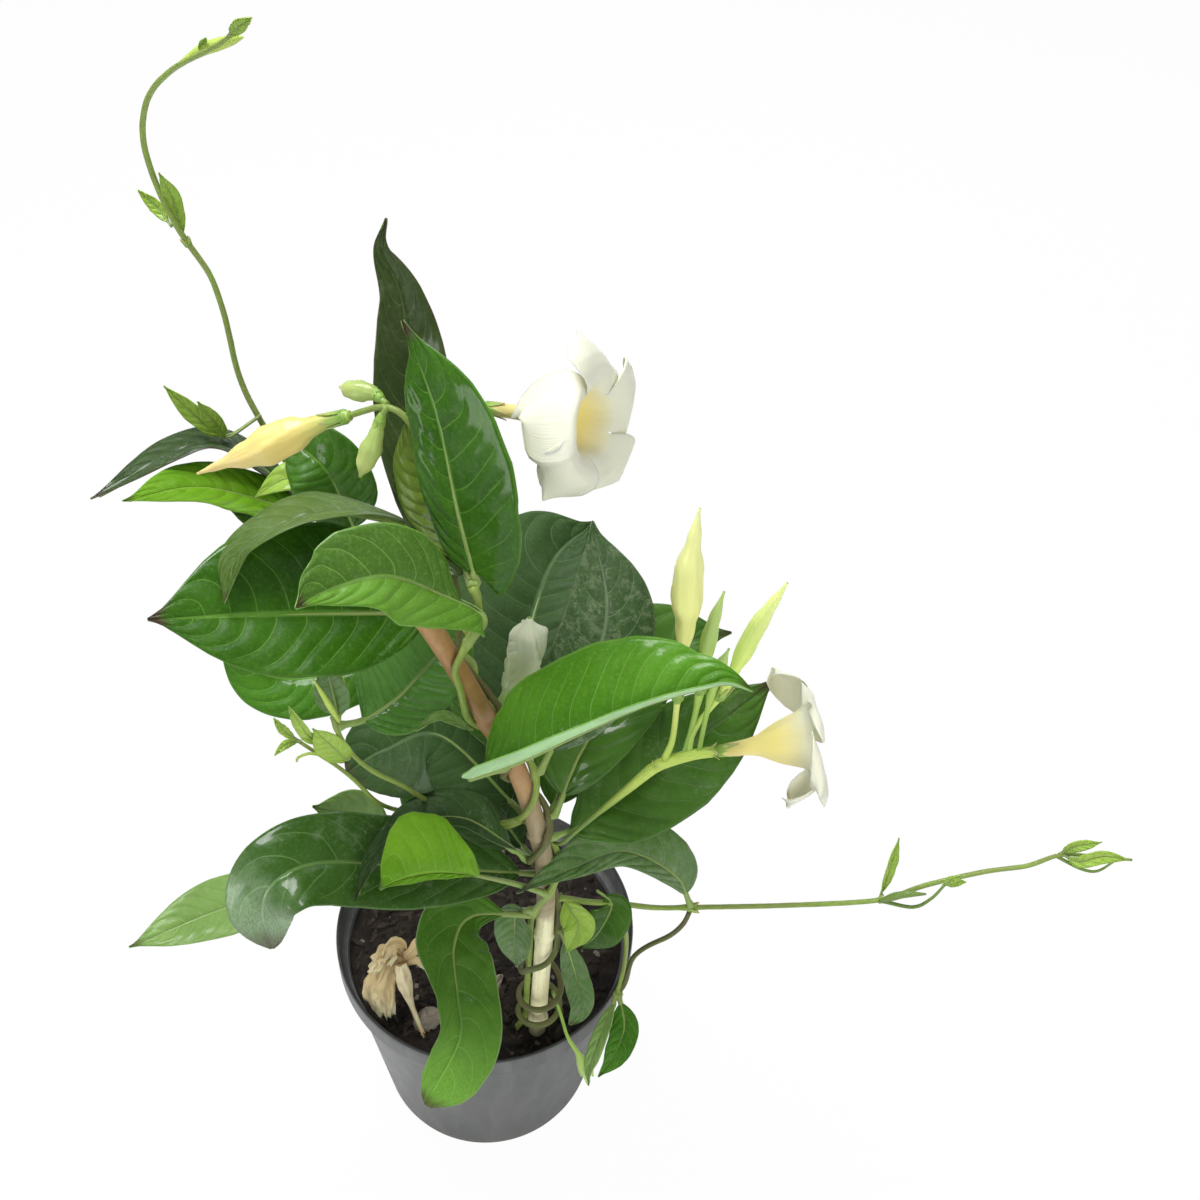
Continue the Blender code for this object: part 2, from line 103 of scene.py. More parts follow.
def polar(angle, out, height, across=0.0):
    # a point out from the axis in one direction, and across from there
    return Vector((out * math.cos(angle) - across * math.sin(angle),
                   out * math.sin(angle) + across * math.cos(angle), height))


def wobble(x, y, z, seed=0.0):
    return noise.noise(Vector((x + seed, y - seed, z + 2 * seed)))


# ---- mesh helpers ------------------------------------------------------------------------------------

tubeUv = 0.1  # uv for each millimetre along a tube


def marked(marks):
    # the uv noted down for each point of a grid
    last, wide = len(marks) - 1, len(marks[0]) - 1
    return lambda v, u: marks[round(v * last)][round(u * wide)]


class Builder:
    # collects shells, each with its own uv and material slot
    def __init__(self):
        self.verts, self.faces, self.uvs, self.slots = [], [], [], []

    def grid(self, rows, uvOf=lambda v, u: (u, v), slotIndex=0, closed=False):
        # rows of points; uvOf(rowShare, columnShare)
        first = len(self.verts)
        width = len(rows[0])
        for row in rows:
            self.verts.extend(row)
        last = width if closed else width - 1
        for r in range(len(rows) - 1):
            v0, v1 = r / (len(rows) - 1), (r + 1) / (len(rows) - 1)
            near, far = first + r * width, first + (r + 1) * width
            for c in range(last):
                n = (c + 1) % width
                u0, u1 = c / last, (c + 1) / last
                self.faces.append((near + c, near + n, far + n, far + c))
                self.uvs.append([uvOf(v0, u0), uvOf(v0, u1), uvOf(v1, u1), uvOf(v1, u0)])
                self.slots.append(slotIndex)

    def cap(self, ring, slotIndex=0, flip=False):
        first = len(self.verts)
        self.verts.extend(ring)
        order = list(range(first, first + len(ring)))
        self.faces.append(order[::-1] if flip else order)
        self.uvs.append([(0.5, 0.0)] * len(ring))
        self.slots.append(slotIndex)

    def closedShell(self, rows, uvOf=lambda v, u: (u, v), slotIndex=0):
        self.grid(rows, uvOf, slotIndex, closed=True)
        self.cap(rows[0], slotIndex, flip=True)
        self.cap(rows[-1], slotIndex)

    def tube(self, line, radiusOf, sides, long=None):
        # a stem along a line; radiusOf(share, angle); uv runs to long, or follows the length
        rows = []
        tangent = (line[1] - line[0]).normalized()
        normal = tangent.orthogonal().normalized()
        length = 0.0
        for i, point in enumerate(line):
            ahead = line[min(i + 1, len(line) - 1)] - line[max(i - 1, 0)]
            turned = ahead.normalized() if ahead.length > 1e-6 else tangent
            normal = tangent.rotation_difference(turned) @ normal
            tangent = turned
            side = tangent.cross(normal)
            if i:
                length += (point - line[i - 1]).length
            share = i / (len(line) - 1)
            rows.append([point + (normal * math.cos(angle) + side * math.sin(angle)) * radiusOf(share, angle)
                         for angle in around(sides)])
        self.closedShell(rows, lambda v, u: (u, v * (long or length * tubeUv)))

    def build(self, name, owner, mats, thickness=0.0, under=0, rim=0, smoothed=True):
        # one object, shown in place of the solid named by owner
        mesh = bpy.data.meshes.new(name)
        mesh.from_pydata([p * mm for p in self.verts], [], self.faces)
        layer = mesh.uv_layers.new(name="leafUv")
        for spot, corner in zip(layer.data, (corner for face in self.uvs for corner in face)):
            spot.uv = corner
        for polygon, index in zip(mesh.polygons, self.slots):
            polygon.material_index = index
            polygon.use_smooth = smoothed
        mesh.update()
        merge = bmesh.new()
        merge.from_mesh(mesh)
        bmesh.ops.remove_doubles(merge, verts=merge.verts, dist=0.00001)
        merge.to_mesh(mesh)
        merge.free()
        obj = bpy.data.objects.new(name, mesh)
        bpy.context.scene.collection.objects.link(obj)
        for mat in mats:
            mesh.materials.append(mat)
        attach(obj, "root")
        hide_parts(owner)
        if thickness:
            shell = obj.modifiers.new("thickness", "SOLIDIFY")
            shell.thickness = thickness * mm
            shell.offset = -1
            shell.material_offset = under
            shell.material_offset_rim = rim
        return obj


# ---- shader helpers ----------------------------------------------------------------------------------

sockets = dict(colour="Base Color", rough="Roughness", normal="Normal", coat="Coat Weight",
               coatRough="Coat Roughness", shine="Specular IOR Level", sheen="Sheen Weight",
               soft="Subsurface Weight", softTint="Subsurface Radius", softDepth="Subsurface Scale")


class Tree:
    # short names for adding nodes to a material or a group
    def __init__(self, tree):
        self.tree = tree

    def feed(self, socket, value):
        if isinstance(value, bpy.types.NodeSocket):
            self.tree.links.new(value, socket)
        elif isinstance(value, (tuple, list)) and len(value) == 3 and socket.type == "RGBA":
            socket.default_value = (*value, 1)
        else:
            socket.default_value = value

    def add(self, kind, inputs=(), **settings):
        node = self.tree.nodes.new(kind)
        for key, value in settings.items():
            setattr(node, key, value)
        for key, value in dict(inputs).items():
            self.feed(node.inputs[key], value)
        return node

    def give(self, outputs, **values):
        for key, value in values.items():
            self.feed(outputs[key], value)

    def surface(self, shader, **looks):
        for key, value in looks.items():
            self.feed(shader.inputs[sockets[key]], value)

    def math(self, operation, a, b=0.0, c=0.0, clamp=False):
        return self.add("ShaderNodeMath", {0: a, 1: b, 2: c}, operation=operation, use_clamp=clamp).outputs[0]

    def times(self, a, b):
        return self.math("MULTIPLY", a, b)

    def scaled(self, a, b, c):
        # a times b, plus c
        return self.math("MULTIPLY_ADD", a, b, c)

    def ramp(self, value, low, high):
        # smoothly from 0 where the value is at low to 1 where it is at high
        return self.add("ShaderNodeMapRange", {"Value": value, "From Min": low, "From Max": high},
                        interpolation_type="SMOOTHSTEP").outputs[0]

    def mix(self, share, a, b):
        return self.add("ShaderNodeMix", {0: share, 6: a, 7: b}, data_type="RGBA").outputs[2]

    def tint(self, colour, mask, share, other):
        # another colour over this one where the mask is, at most by the share
        return self.mix(self.times(mask, share), colour, other)

    def noise(self, vector, scale, detail=3.0, rough=0.5, warp=0.0):
        return self.add("ShaderNodeTexNoise", {"Vector": vector, "Scale": scale, "Detail": detail,
                                               "Roughness": rough, "Distortion": warp}).outputs[0]

    def cells(self, vector, scale, feature="F1"):
        return self.add("ShaderNodeTexVoronoi", {"Vector": vector, "Scale": scale},
                        feature=feature).outputs["Distance"]

    def stretched(self, vector, scale):
        return self.add("ShaderNodeMapping", {"Vector": vector, "Scale": scale}).outputs[0]

    def bump(self, height, distance, strength):
        return self.add("ShaderNodeBump",
                        {"Height": height, "Distance": distance, "Strength": strength}).outputs[0]

    def place(self):
        return self.add("ShaderNodeTexCoord").outputs["Object"]

    def leafUv(self):
        return self.add("ShaderNodeUVMap", uv_map="leafUv").outputs[0]

    def parts(self, vector):
        return self.add("ShaderNodeSeparateXYZ", {0: vector}).outputs

    def group(self, made, **inputs):
        return self.add("ShaderNodeGroup", inputs, node_tree=made).outputs


def newGroup(name, inputs, outputs):
    # a node group that works out masks and other plain values
    made = bpy.data.node_groups.new(name, "ShaderNodeTree")
    for title, kind in inputs.items():
        made.interface.new_socket(title, in_out="INPUT", socket_type="NodeSocket" + kind)
    for title in outputs:
        made.interface.new_socket(title, in_out="OUTPUT", socket_type="NodeSocketFloat")
    t = Tree(made)
    return made, t, t.add("NodeGroupInput").outputs, t.add("NodeGroupOutput").inputs


def newMaterial(name):
    mat = bpy.data.materials.new(name)
    mat.use_nodes = True
    return mat, Tree(mat.node_tree), mat.node_tree.nodes["Principled BSDF"]


# the grid of a blade; how far its side veins sweep towards the tip, and how far those of the second half
# stand from the first half's (a share of the way between two veins); the depth of the groove over its
# midrib and of its lumps; and how much its width and its veins wander
blade = dict(rows=80, columns=26, thick=0.4, sweep=0.2, offset=0.42, groove=0.5, lumps=0.35, uneven=0.035,
             drift=0.02)


def veinGroup():
    # side veins that sweep from the midrib towards the tip, from across (u) and along (v) the blade
    made, t, i, o = newGroup("leafVeins", dict(uv="Vector", count="Float", sweep="Float"),
                             ("vein", "midrib", "margin", "swell", "along"))
    u, v, _ = t.parts(i["uv"])
    across = t.math("ABSOLUTE", t.scaled(u, 2.0, -1.0))
    other = t.times(t.math("GREATER_THAN", u, 0.5), blade["offset"])
    lean = t.times(t.math("POWER", across, 1.7), i["sweep"])
    phase = t.math("ADD", t.times(t.math("SUBTRACT", v, lean), i["count"]), other)
    folded = t.math("ABSOLUTE", t.scaled(t.math("FRACT", phase), 2.0, -1.0))
    fade = t.times(t.ramp(across, 0.97, 0.7), t.ramp(v, 0.98, 0.86))
    t.give(o, vein=t.times(t.ramp(folded, 0.085, 0.02), fade), midrib=t.ramp(across, 0.06, 0.02),
           margin=t.ramp(across, 0.955, 0.985), along=v,
           swell=t.times(t.ramp(folded, 0.0, 0.8), t.ramp(across, 1.0, 0.85)))
    return made


def speckleGroup():
    # pale water marks and dust: fine dots inside soft patches
    made, t, i, o = newGroup("leafSpeckle", dict(place="Vector", amount="Float"), ("mask",))
    patches = t.ramp(t.noise(i["place"], 52.0, 5.0, 0.65), 0.45, 0.66)
    dots = t.ramp(t.noise(i["place"], 620.0, 4.0, 0.7), 0.5, 0.74)
    broad = t.ramp(t.noise(i["place"], 190.0, 3.0, 0.6), 0.5, 0.72)
    both = t.math("MAXIMUM", t.times(dots, 0.7), t.times(broad, 0.45))
    t.give(o, mask=t.math("MULTIPLY", t.times(both, patches), i["amount"], clamp=True))
    return made


def wearGroup():
    # soft blotches and fine grain for stems, cane and pot
    made, t, i, o = newGroup("surfaceWear", dict(place="Vector", scale="Float"), ("blotch", "grain"))
    t.give(o, blotch=t.ramp(t.noise(i["place"], i["scale"], 4.0, 0.6, 0.3), 0.35, 0.68),
           grain=t.noise(i["place"], t.times(i["scale"], 14.0), 3.0, 0.6))
    return made


veins, speckle, wear = veinGroup(), speckleGroup(), wearGroup()

# shades between the veins (low to high), vein colour and gloss of each kind of leaf; where they differ, also
# the shade towards the tip and the shares of the length where it begins and ends (far), painted shade on
# the second half (side), the shade of the edge (margin) and under side (under, underVein), and mottling
tones = {
    "mid": dict(low=(0.026, 0.078, 0.005), high=(0.046, 0.125, 0.009), vein=(0.10, 0.21, 0.03), rough=0.38),
    "deep": dict(low=(0.024, 0.088, 0.004), high=(0.042, 0.135, 0.007), vein=(0.105, 0.24, 0.03), rough=0.36),
    "fresh": dict(low=(0.04, 0.14, 0.006), high=(0.066, 0.205, 0.013), vein=(0.15, 0.33, 0.05), rough=0.38),
    # bright: its side colour is painted shade on the blade's second half
    "bright": dict(low=(0.08, 0.205, 0.013), high=(0.115, 0.27, 0.026), vein=(0.20, 0.37, 0.075), rough=0.42,
                   side=(0.05, 0.12, 0.015)),
    "yellow": dict(low=(0.10, 0.255, 0.005), high=(0.145, 0.32, 0.011), vein=(0.22, 0.40, 0.045), rough=0.44),
    "young": dict(low=(0.23, 0.37, 0.04), high=(0.34, 0.50, 0.085), vein=(0.42, 0.56, 0.15), rough=0.44),
    "dark": dict(low=(0.034, 0.102, 0.008), high=(0.062, 0.155, 0.018), vein=(0.085, 0.155, 0.04),
                 rough=0.32),
    # shade: a darker green, top and under side, for the leaves deep inside the plant: painted shade
    "shade": dict(low=(0.026, 0.062, 0.014), high=(0.044, 0.092, 0.026), vein=(0.085, 0.145, 0.055),
                  rough=0.55, under=(0.05, 0.10, 0.034), underVein=(0.10, 0.16, 0.06)),
    "calm": dict(low=(0.022, 0.086, 0.003), high=(0.038, 0.125, 0.006), vein=(0.10, 0.23, 0.028), rough=0.34),
    "crown": dict(low=(0.06, 0.195, 0.006), high=(0.095, 0.275, 0.014), vein=(0.19, 0.38, 0.07), rough=0.38,
                  under=(0.40, 0.68, 0.31), underVein=(0.62, 0.86, 0.52)),
    "mottled": dict(low=(0.04, 0.088, 0.026), high=(0.066, 0.122, 0.044), vein=(0.19, 0.26, 0.14), rough=0.28,
                    mottle=0.75),
    "glossy": dict(low=(0.062, 0.185, 0.02), high=(0.098, 0.26, 0.044), vein=(0.15, 0.25, 0.075), rough=0.25),
    "spruce": dict(low=(0.02, 0.046, 0.01), high=(0.038, 0.076, 0.018), vein=(0.085, 0.135, 0.055),
                   rough=0.38, margin=(0.074, 0.03, 0.04)),
    "sage": dict(low=(0.06, 0.115, 0.018), high=(0.095, 0.165, 0.033), vein=(0.165, 0.245, 0.08), rough=0.42),
    "lit": dict(low=(0.15, 0.265, 0.06), high=(0.20, 0.33, 0.088), vein=(0.26, 0.39, 0.13), rough=0.46),
    "dusty": dict(low=(0.066, 0.142, 0.03), high=(0.10, 0.198, 0.054), vein=(0.17, 0.25, 0.095), rough=0.36,
                  mottle=0.4, under=(0.34, 0.50, 0.26), underVein=(0.48, 0.62, 0.40)),
    "olive": dict(low=(0.088, 0.155, 0.012), high=(0.12, 0.20, 0.02), vein=(0.18, 0.25, 0.05), rough=0.44),
    "bronze": dict(low=(0.034, 0.062, 0.013), high=(0.06, 0.095, 0.026), vein=(0.105, 0.155, 0.05),
                   rough=0.36, margin=(0.096, 0.037, 0.044)),
    "pale": dict(low=(0.16, 0.30, 0.06), high=(0.24, 0.39, 0.11), vein=(0.31, 0.45, 0.18), rough=0.46),
    "front": dict(low=(0.044, 0.128, 0.007), high=(0.068, 0.178, 0.014), vein=(0.125, 0.235, 0.05),
                  rough=0.36, far=(0.56, 0.94, (0.17, 0.37, 0.05)), margin=(0.34, 0.42, 0.20)),
    "broad": dict(low=(0.028, 0.082, 0.008), high=(0.044, 0.115, 0.016), vein=(0.11, 0.21, 0.055), rough=0.34,
                  far=(0.71, 0.90, (0.24, 0.345, 0.195))),
}
leafSkins = {}
leafGlow = dict(soft=0.2, softTint=(0.4, 1.0, 0.1), softDepth=0.0008)
# dust and water marks, mottling and burnt tips on the upper side
markShades = dict(dust=(0.30, 0.37, 0.24), mottle=(0.175, 0.235, 0.125), burnt=(0.065, 0.032, 0.026))


def blend(a, b, share):
    return tuple((1 - share) * x + share * y for x, y in zip(a, b))


def topSkin(name, look, dust, tip, count):
    mat, t, shader = newMaterial("leafTop_" + name)
    place = t.place()
    lines = t.group(veins, uv=t.leafUv(), count=count, sweep=blade["sweep"])
    marks = t.group(speckle, place=place, amount=dust)["mask"]
    broad = t.ramp(t.noise(place, 42.0, 4.0, 0.6), 0.32, 0.68)
    fine = t.noise(place, 900.0, 3.0, 0.65)
    colour = t.mix(broad, look["low"], look["high"])
    if "side" in look:
        # painted shade: the second half of the blade is darkened
        colour = t.tint(colour, t.ramp(t.parts(t.leafUv())[0], 0.47, 0.53), 0.75, look["side"])
    veinShade = look["vein"]
    if "far" in look:
        begins, ends, shade = look["far"]
        edge = t.scaled(t.noise(place, 110.0, 3.0), 0.16, t.math("ADD", lines["along"], -0.08))
        tipward = t.ramp(edge, begins, ends)
        flecks = t.ramp(t.noise(t.stretched(t.leafUv(), (14.0, 30.0, 1.0)), 3.0, 3.0, 0.6), 0.4, 0.65)
        colour = t.mix(tipward, colour, t.tint(shade, flecks, 0.4, look["high"]))
        veinShade = t.mix(tipward, look["vein"], tuple(min(0.75, 1.25 * c) for c in shade))
    net = t.ramp(t.cells(place, 560.0, "DISTANCE_TO_EDGE"), 0.07, 0.0)
    for mask, share, shade in ((t.ramp(fine, 0.5, 0.7), 0.30, look["vein"]), (net, 0.14, look["vein"]),
                               (lines["vein"], 0.68, veinShade), (lines["midrib"], 0.9, veinShade),
                               (lines["margin"], 0.42, look.get("margin", look["vein"]))):
        colour = t.tint(colour, mask, share, shade)
    colour = t.mix(marks, colour, markShades["dust"])
    if "mottle" in look:
        spots = t.ramp(t.noise(place, 300.0, 5.0, 0.78), 0.5, 0.6)
        colour = t.tint(colour, spots, look["mottle"], markShades["mottle"])
    burnt = t.ramp(t.scaled(broad, 0.03, lines["along"]), 0.93, 1.0)
    colour = t.tint(colour, burnt, tip, markShades["burnt"])
    height = 0.0
    for part, share in ((lines["swell"], 0.62), (lines["vein"], -0.22), (lines["midrib"], -0.7),
                        (t.noise(place, 150.0, 4.0, 0.6), 0.8), (t.noise(place, 1300.0, 2.0, 0.6), 0.16)):
        height = t.scaled(part, share, height)
    t.surface(shader, colour=colour, rough=t.scaled(broad, 0.1, t.scaled(marks, 0.3, look["rough"])),
              coat=t.scaled(marks, -0.15, 0.95 - look["rough"] * 1.7),
              coatRough=t.scaled(t.noise(place, 90.0, 3.0), 0.12, 0.05), shine=0.14,
              normal=t.bump(height, 0.00045, 0.9), **leafGlow)
    return mat


def underSkin(name, look, count):
    mat, t, shader = newMaterial("leafUnder_" + name)
    lines = t.group(veins, uv=t.leafUv(), count=count, sweep=blade["sweep"])
    place = t.place()
    broad = t.ramp(t.noise(place, 60.0, 4.0, 0.6), 0.3, 0.7)
    if "under" in look:
        pale = look["under"]
        deep = tuple(0.66 * c for c in pale)
    else:
        pale = blend(look["high"], (0.36, 0.52, 0.24), 0.5)
        deep = blend(look["high"], (0.27, 0.42, 0.17), 0.4)
    colour = t.mix(broad, deep, pale)
    colour = t.tint(colour, lines["vein"], 0.6, look.get("underVein", (0.40, 0.55, 0.25)))
    colour = t.tint(colour, lines["midrib"], 0.7, (0.46, 0.56, 0.28))
    height = t.scaled(lines["vein"], 1.0, t.noise(place, 400.0, 3.0, 0.6))
    t.surface(shader, colour=colour, rough=t.scaled(broad, 0.15, 0.5), sheen=0.08,
              normal=t.bump(height, 0.0003, 0.8), **leafGlow)
    return mat


def marginSkin(name, look):
    mat, t, shader = newMaterial("leafMargin_" + name)
    place = t.place()
    patches = t.ramp(t.noise(place, 120.0, 3.0), 0.3, 0.7)
    t.surface(shader, colour=t.mix(patches, look["high"], look.get("margin", look["vein"])),
              rough=t.scaled(t.noise(place, 900.0), 0.2, 0.4))
    return mat


def leafSkin(tone, dust, tip, count):
    # upper side, under side and margin materials of one kind of leaf
    key = (tone, dust, tip, count)
    if key not in leafSkins:
        look, name = tones[tone], f"{tone}{len(leafSkins)}"
        leafSkins[key] = (topSkin(name, look, dust, tip, count), underSkin(name, look, count),
                          marginSkin(name, look))
    return leafSkins[key]


def stemSkin(name, low, high, patch, rough=0.45, blotchScale=60.0, foot=None):
    # foot: two heights between which the stem turns darker downwards, and the colour it turns; this is painted
    # shade
    mat, t, shader = newMaterial(name)
    place = t.place()
    worn = t.group(wear, place=place, scale=blotchScale)
    fibres = t.noise(t.stretched(t.leafUv(), (14.0, 1.2, 1.0)), 3.0, 4.0, 0.6)
    colour = t.mix(t.ramp(fibres, 0.3, 0.7), low, high)
    colour = t.tint(colour, worn["blotch"], 0.55, patch)
    # painted shade: the stem is darkened below the foot heights
    if foot:
        colour = t.tint(colour, t.ramp(t.parts(place)[2], foot[1], foot[0]), 0.85, foot[2])
    t.surface(shader, colour=colour, rough=t.scaled(worn["grain"], 0.25, rough - 0.1), coat=0.12,
              normal=t.bump(t.scaled(worn["grain"], 0.5, fibres), 0.00025, 0.8))
    return mat


youngStem = stemSkin("youngStem", (0.17, 0.27, 0.035), (0.30, 0.42, 0.085), (0.20, 0.23, 0.055))
# the fresh stems are painted darker below 252 mm: the shade under the big right leaf on the raceme stalk
freshStem = stemSkin("freshStem", (0.36, 0.50, 0.06), (0.56, 0.70, 0.15), (0.44, 0.58, 0.09),
                     foot=(0.252, 0.270, (0.10, 0.19, 0.035)))
oldStem = stemSkin("oldStem", (0.075, 0.105, 0.02), (0.15, 0.17, 0.05), (0.12, 0.075, 0.035), 0.6, 45.0)
stalkSkin = stemSkin("leafStalk", (0.17, 0.30, 0.05), (0.29, 0.42, 0.11), (0.25, 0.26, 0.09), 0.4)
print("materials ready")


# ---- stems and cane ----------------------------------------------------------------------------------

cane = dict(radius=3.6, nodeHeights=(112, 176, 243, 305, 352),
            line=((26, -41, 62), (26, -41, 98), (28, -40, 200), (25, -40, 240), (17, -41, 280), (8, -42, 305),
                  (-3, -43, 335), (-14, -44, 362)))
caneLine = spline(cane["line"], 4)
vine = dict(radii=(1.3, 1.1), gap=0.4)
twine = cane["radius"] + vine["radii"][0] + vine["gap"]
# the stems that wind up the cane: turns round it and distance from its axis by height, and the loose end
climbers = {
    "vine_a": dict(turns=((86, 0.1), (106, 0.1), (116, 0.45), (126, 1.25), (138, 2.1), (156, 2.6), (175, 3.0),
                          (340, 5.3)),
                   away=((86, 12), (104, 12), (113, 8.8), (155, 8.6), (174, twine), (340, twine)),
                   top=330, end=((-2, -28, 345), (-8, -14, 354), (-12, -8, 362)), skin=oldStem),
    "vine_b": dict(turns=((86, 3.5), (175, 3.5), (340, 5.8)),
                   away=((86, 9), (100, 9), (110, twine), (340, twine)),
                   top=336, end=((6, -40, 350), (4, -38, 360)), skin=youngStem),
}
# the other stems: points, radii from foot to end, and skin
branches = {
    "runner_left": (((3, -33, 321), (-14, -14, 316), (-38, 20, 312), (-60, 41, 315), (-76, 52, 334),
                     (-88, 62, 353), (-92, 69, 375), (-96, 73, 389), (-102, 75, 398), (-108, 77, 411),
                     (-112, 80, 430), (-107, 78, 446), (-99, 74, 455), (-91, 68, 462), (-78, 60, 471),
                     (-66, 56, 480)), (1.3, 1.2, 1.2, 1.1, 1, 1, 0.9, 0.5), youngStem),
    "runner_right": (((35, -36, 196), (41, -36, 194), (57, -32, 188), (69, -29, 182), (84, -26, 179),
                      (119, -25, 183), (157, -23, 188), (171, -21, 196), (194, -19, 206), (210, -19, 212),
                      (219, -18, 219), (232, -20, 222), (244, -22, 224)),
                     (1.2, 1.1, 1, 1, 1, 1, 0.9, 0.5), youngStem),
    "side_shoot_left": (((14, -40, 245), (7, -34, 239), (-3, -31, 237), (-11, -31.5, 243), (-16, -38.5, 257),
                         (-21, -43.5, 270), (-27, -47, 279), (-32, -48, 285), (-36, -48, 292),
                         (-38, -49, 300), (-40, -48, 309)), (1.1, 0.7), youngStem),
    "side_shoot_low": (((14, -40, 248), (6, -35, 239), (-4, -32, 237), (-14, -32, 238), (-22.5, -35.5, 244),
                        (-27, -40.5, 252.5), (-31, -44.5, 262), (-35, -46, 272.5), (-40, -45.5, 279),
                        (-46, -46.5, 287), (-53, -45, 292)), (1.0, 0.6), youngStem),
    "hanging_shoot": (((57, -34, 184), (60, -33, 165), (60.5, -33, 143), (59.5, -33.5, 131), (59, -34, 123),
                       (60, -37, 121)), (1.1, 0.8), youngStem),
    "olive_branch": (((59.4, -34, 124.5), (61, -34, 128.5), (62.2, -33, 134), (63.5, -29.5, 144),
                      (70, -27.2, 151), (78, -27, 159), (83, -27, 170), (84, -26.8, 177)),
                     (1.1, 1.0), oldStem),
    "back_stem": (((-14, 30, 86), (-14, 30, 104), (-20, 22, 130), (-34, 6, 156), (-48, -14, 174),
                   (-56, -25, 182)), (1.4, 0.9), oldStem),
    "raceme_right": (((32, -41, 237), (38, -42, 248), (46, -39, 257), (56.3, -34, 266), (63, -33, 275),
                      (71, -33, 281), (77.5, -33, 284), (82.5, -33, 285.6)),
                     (0.8, 0.8, 1.1, 1.9, 2.1, 1.8), freshStem),
    "raceme_left": (((-7, -11, 367), (-10, -13, 382), (-14, -12, 394), (-18, -10, 400), (-24, -7, 400),
                     (-30, -5, 396), (-35, -4, 393)), (1.2, 0.9), youngStem),
    "flower_stalk": (((-8, -5, 367), (-7, 0, 378), (-1, 5, 386), (7, 6, 391)), (1.1, 1.1), youngStem),
}
joinGap = (2, 22)  # a branch that sets out this far from a vine starts on the vine itself


def caneCentre(height):
    for a, b in zip(caneLine, caneLine[1:]):
        if height <= b.z:
            return a.lerp(b, (height - a.z) / (b.z - a.z))
    return caneLine[-1]


def twining(turns, away, top, step):
    line = []
    height = turns[0][0]
    while height <= top:
        reach = eased(away, height)
        line.append(caneCentre(height) + polar(2 * math.pi * eased(turns, height), reach, 0))
        spin = abs(eased(turns, height + 1) - eased(turns, height)) * 2 * math.pi * reach
        height += step / math.hypot(1, spin)
    return line


stemLines = {}  # the line and the radius at the foot of each stem
for name, way in climbers.items():
    line = twining(way["turns"], way["away"], way["top"], 4)
    stemLines[name] = line + spline([line[-1], *way["end"]], 5)[1:], vine["radii"][0]
climbing = [p for name in climbers for p in stemLines[name][0]]
for name, (points, radii, skin) in branches.items():
    nearest = min(climbing, key=lambda p: (p - Vector(points[0])).length)
    gap = (nearest - Vector(points[0])).length
    joined = [nearest, *points] if joinGap[0] < gap < joinGap[1] else points
    stemLines[name] = spline(joined, 6), radii[0]
nodesOn = {name: [] for name in stemLines}  # places along each stem where leaves leave it


# ---- leaves ------------------------------------------------------------------------------------------

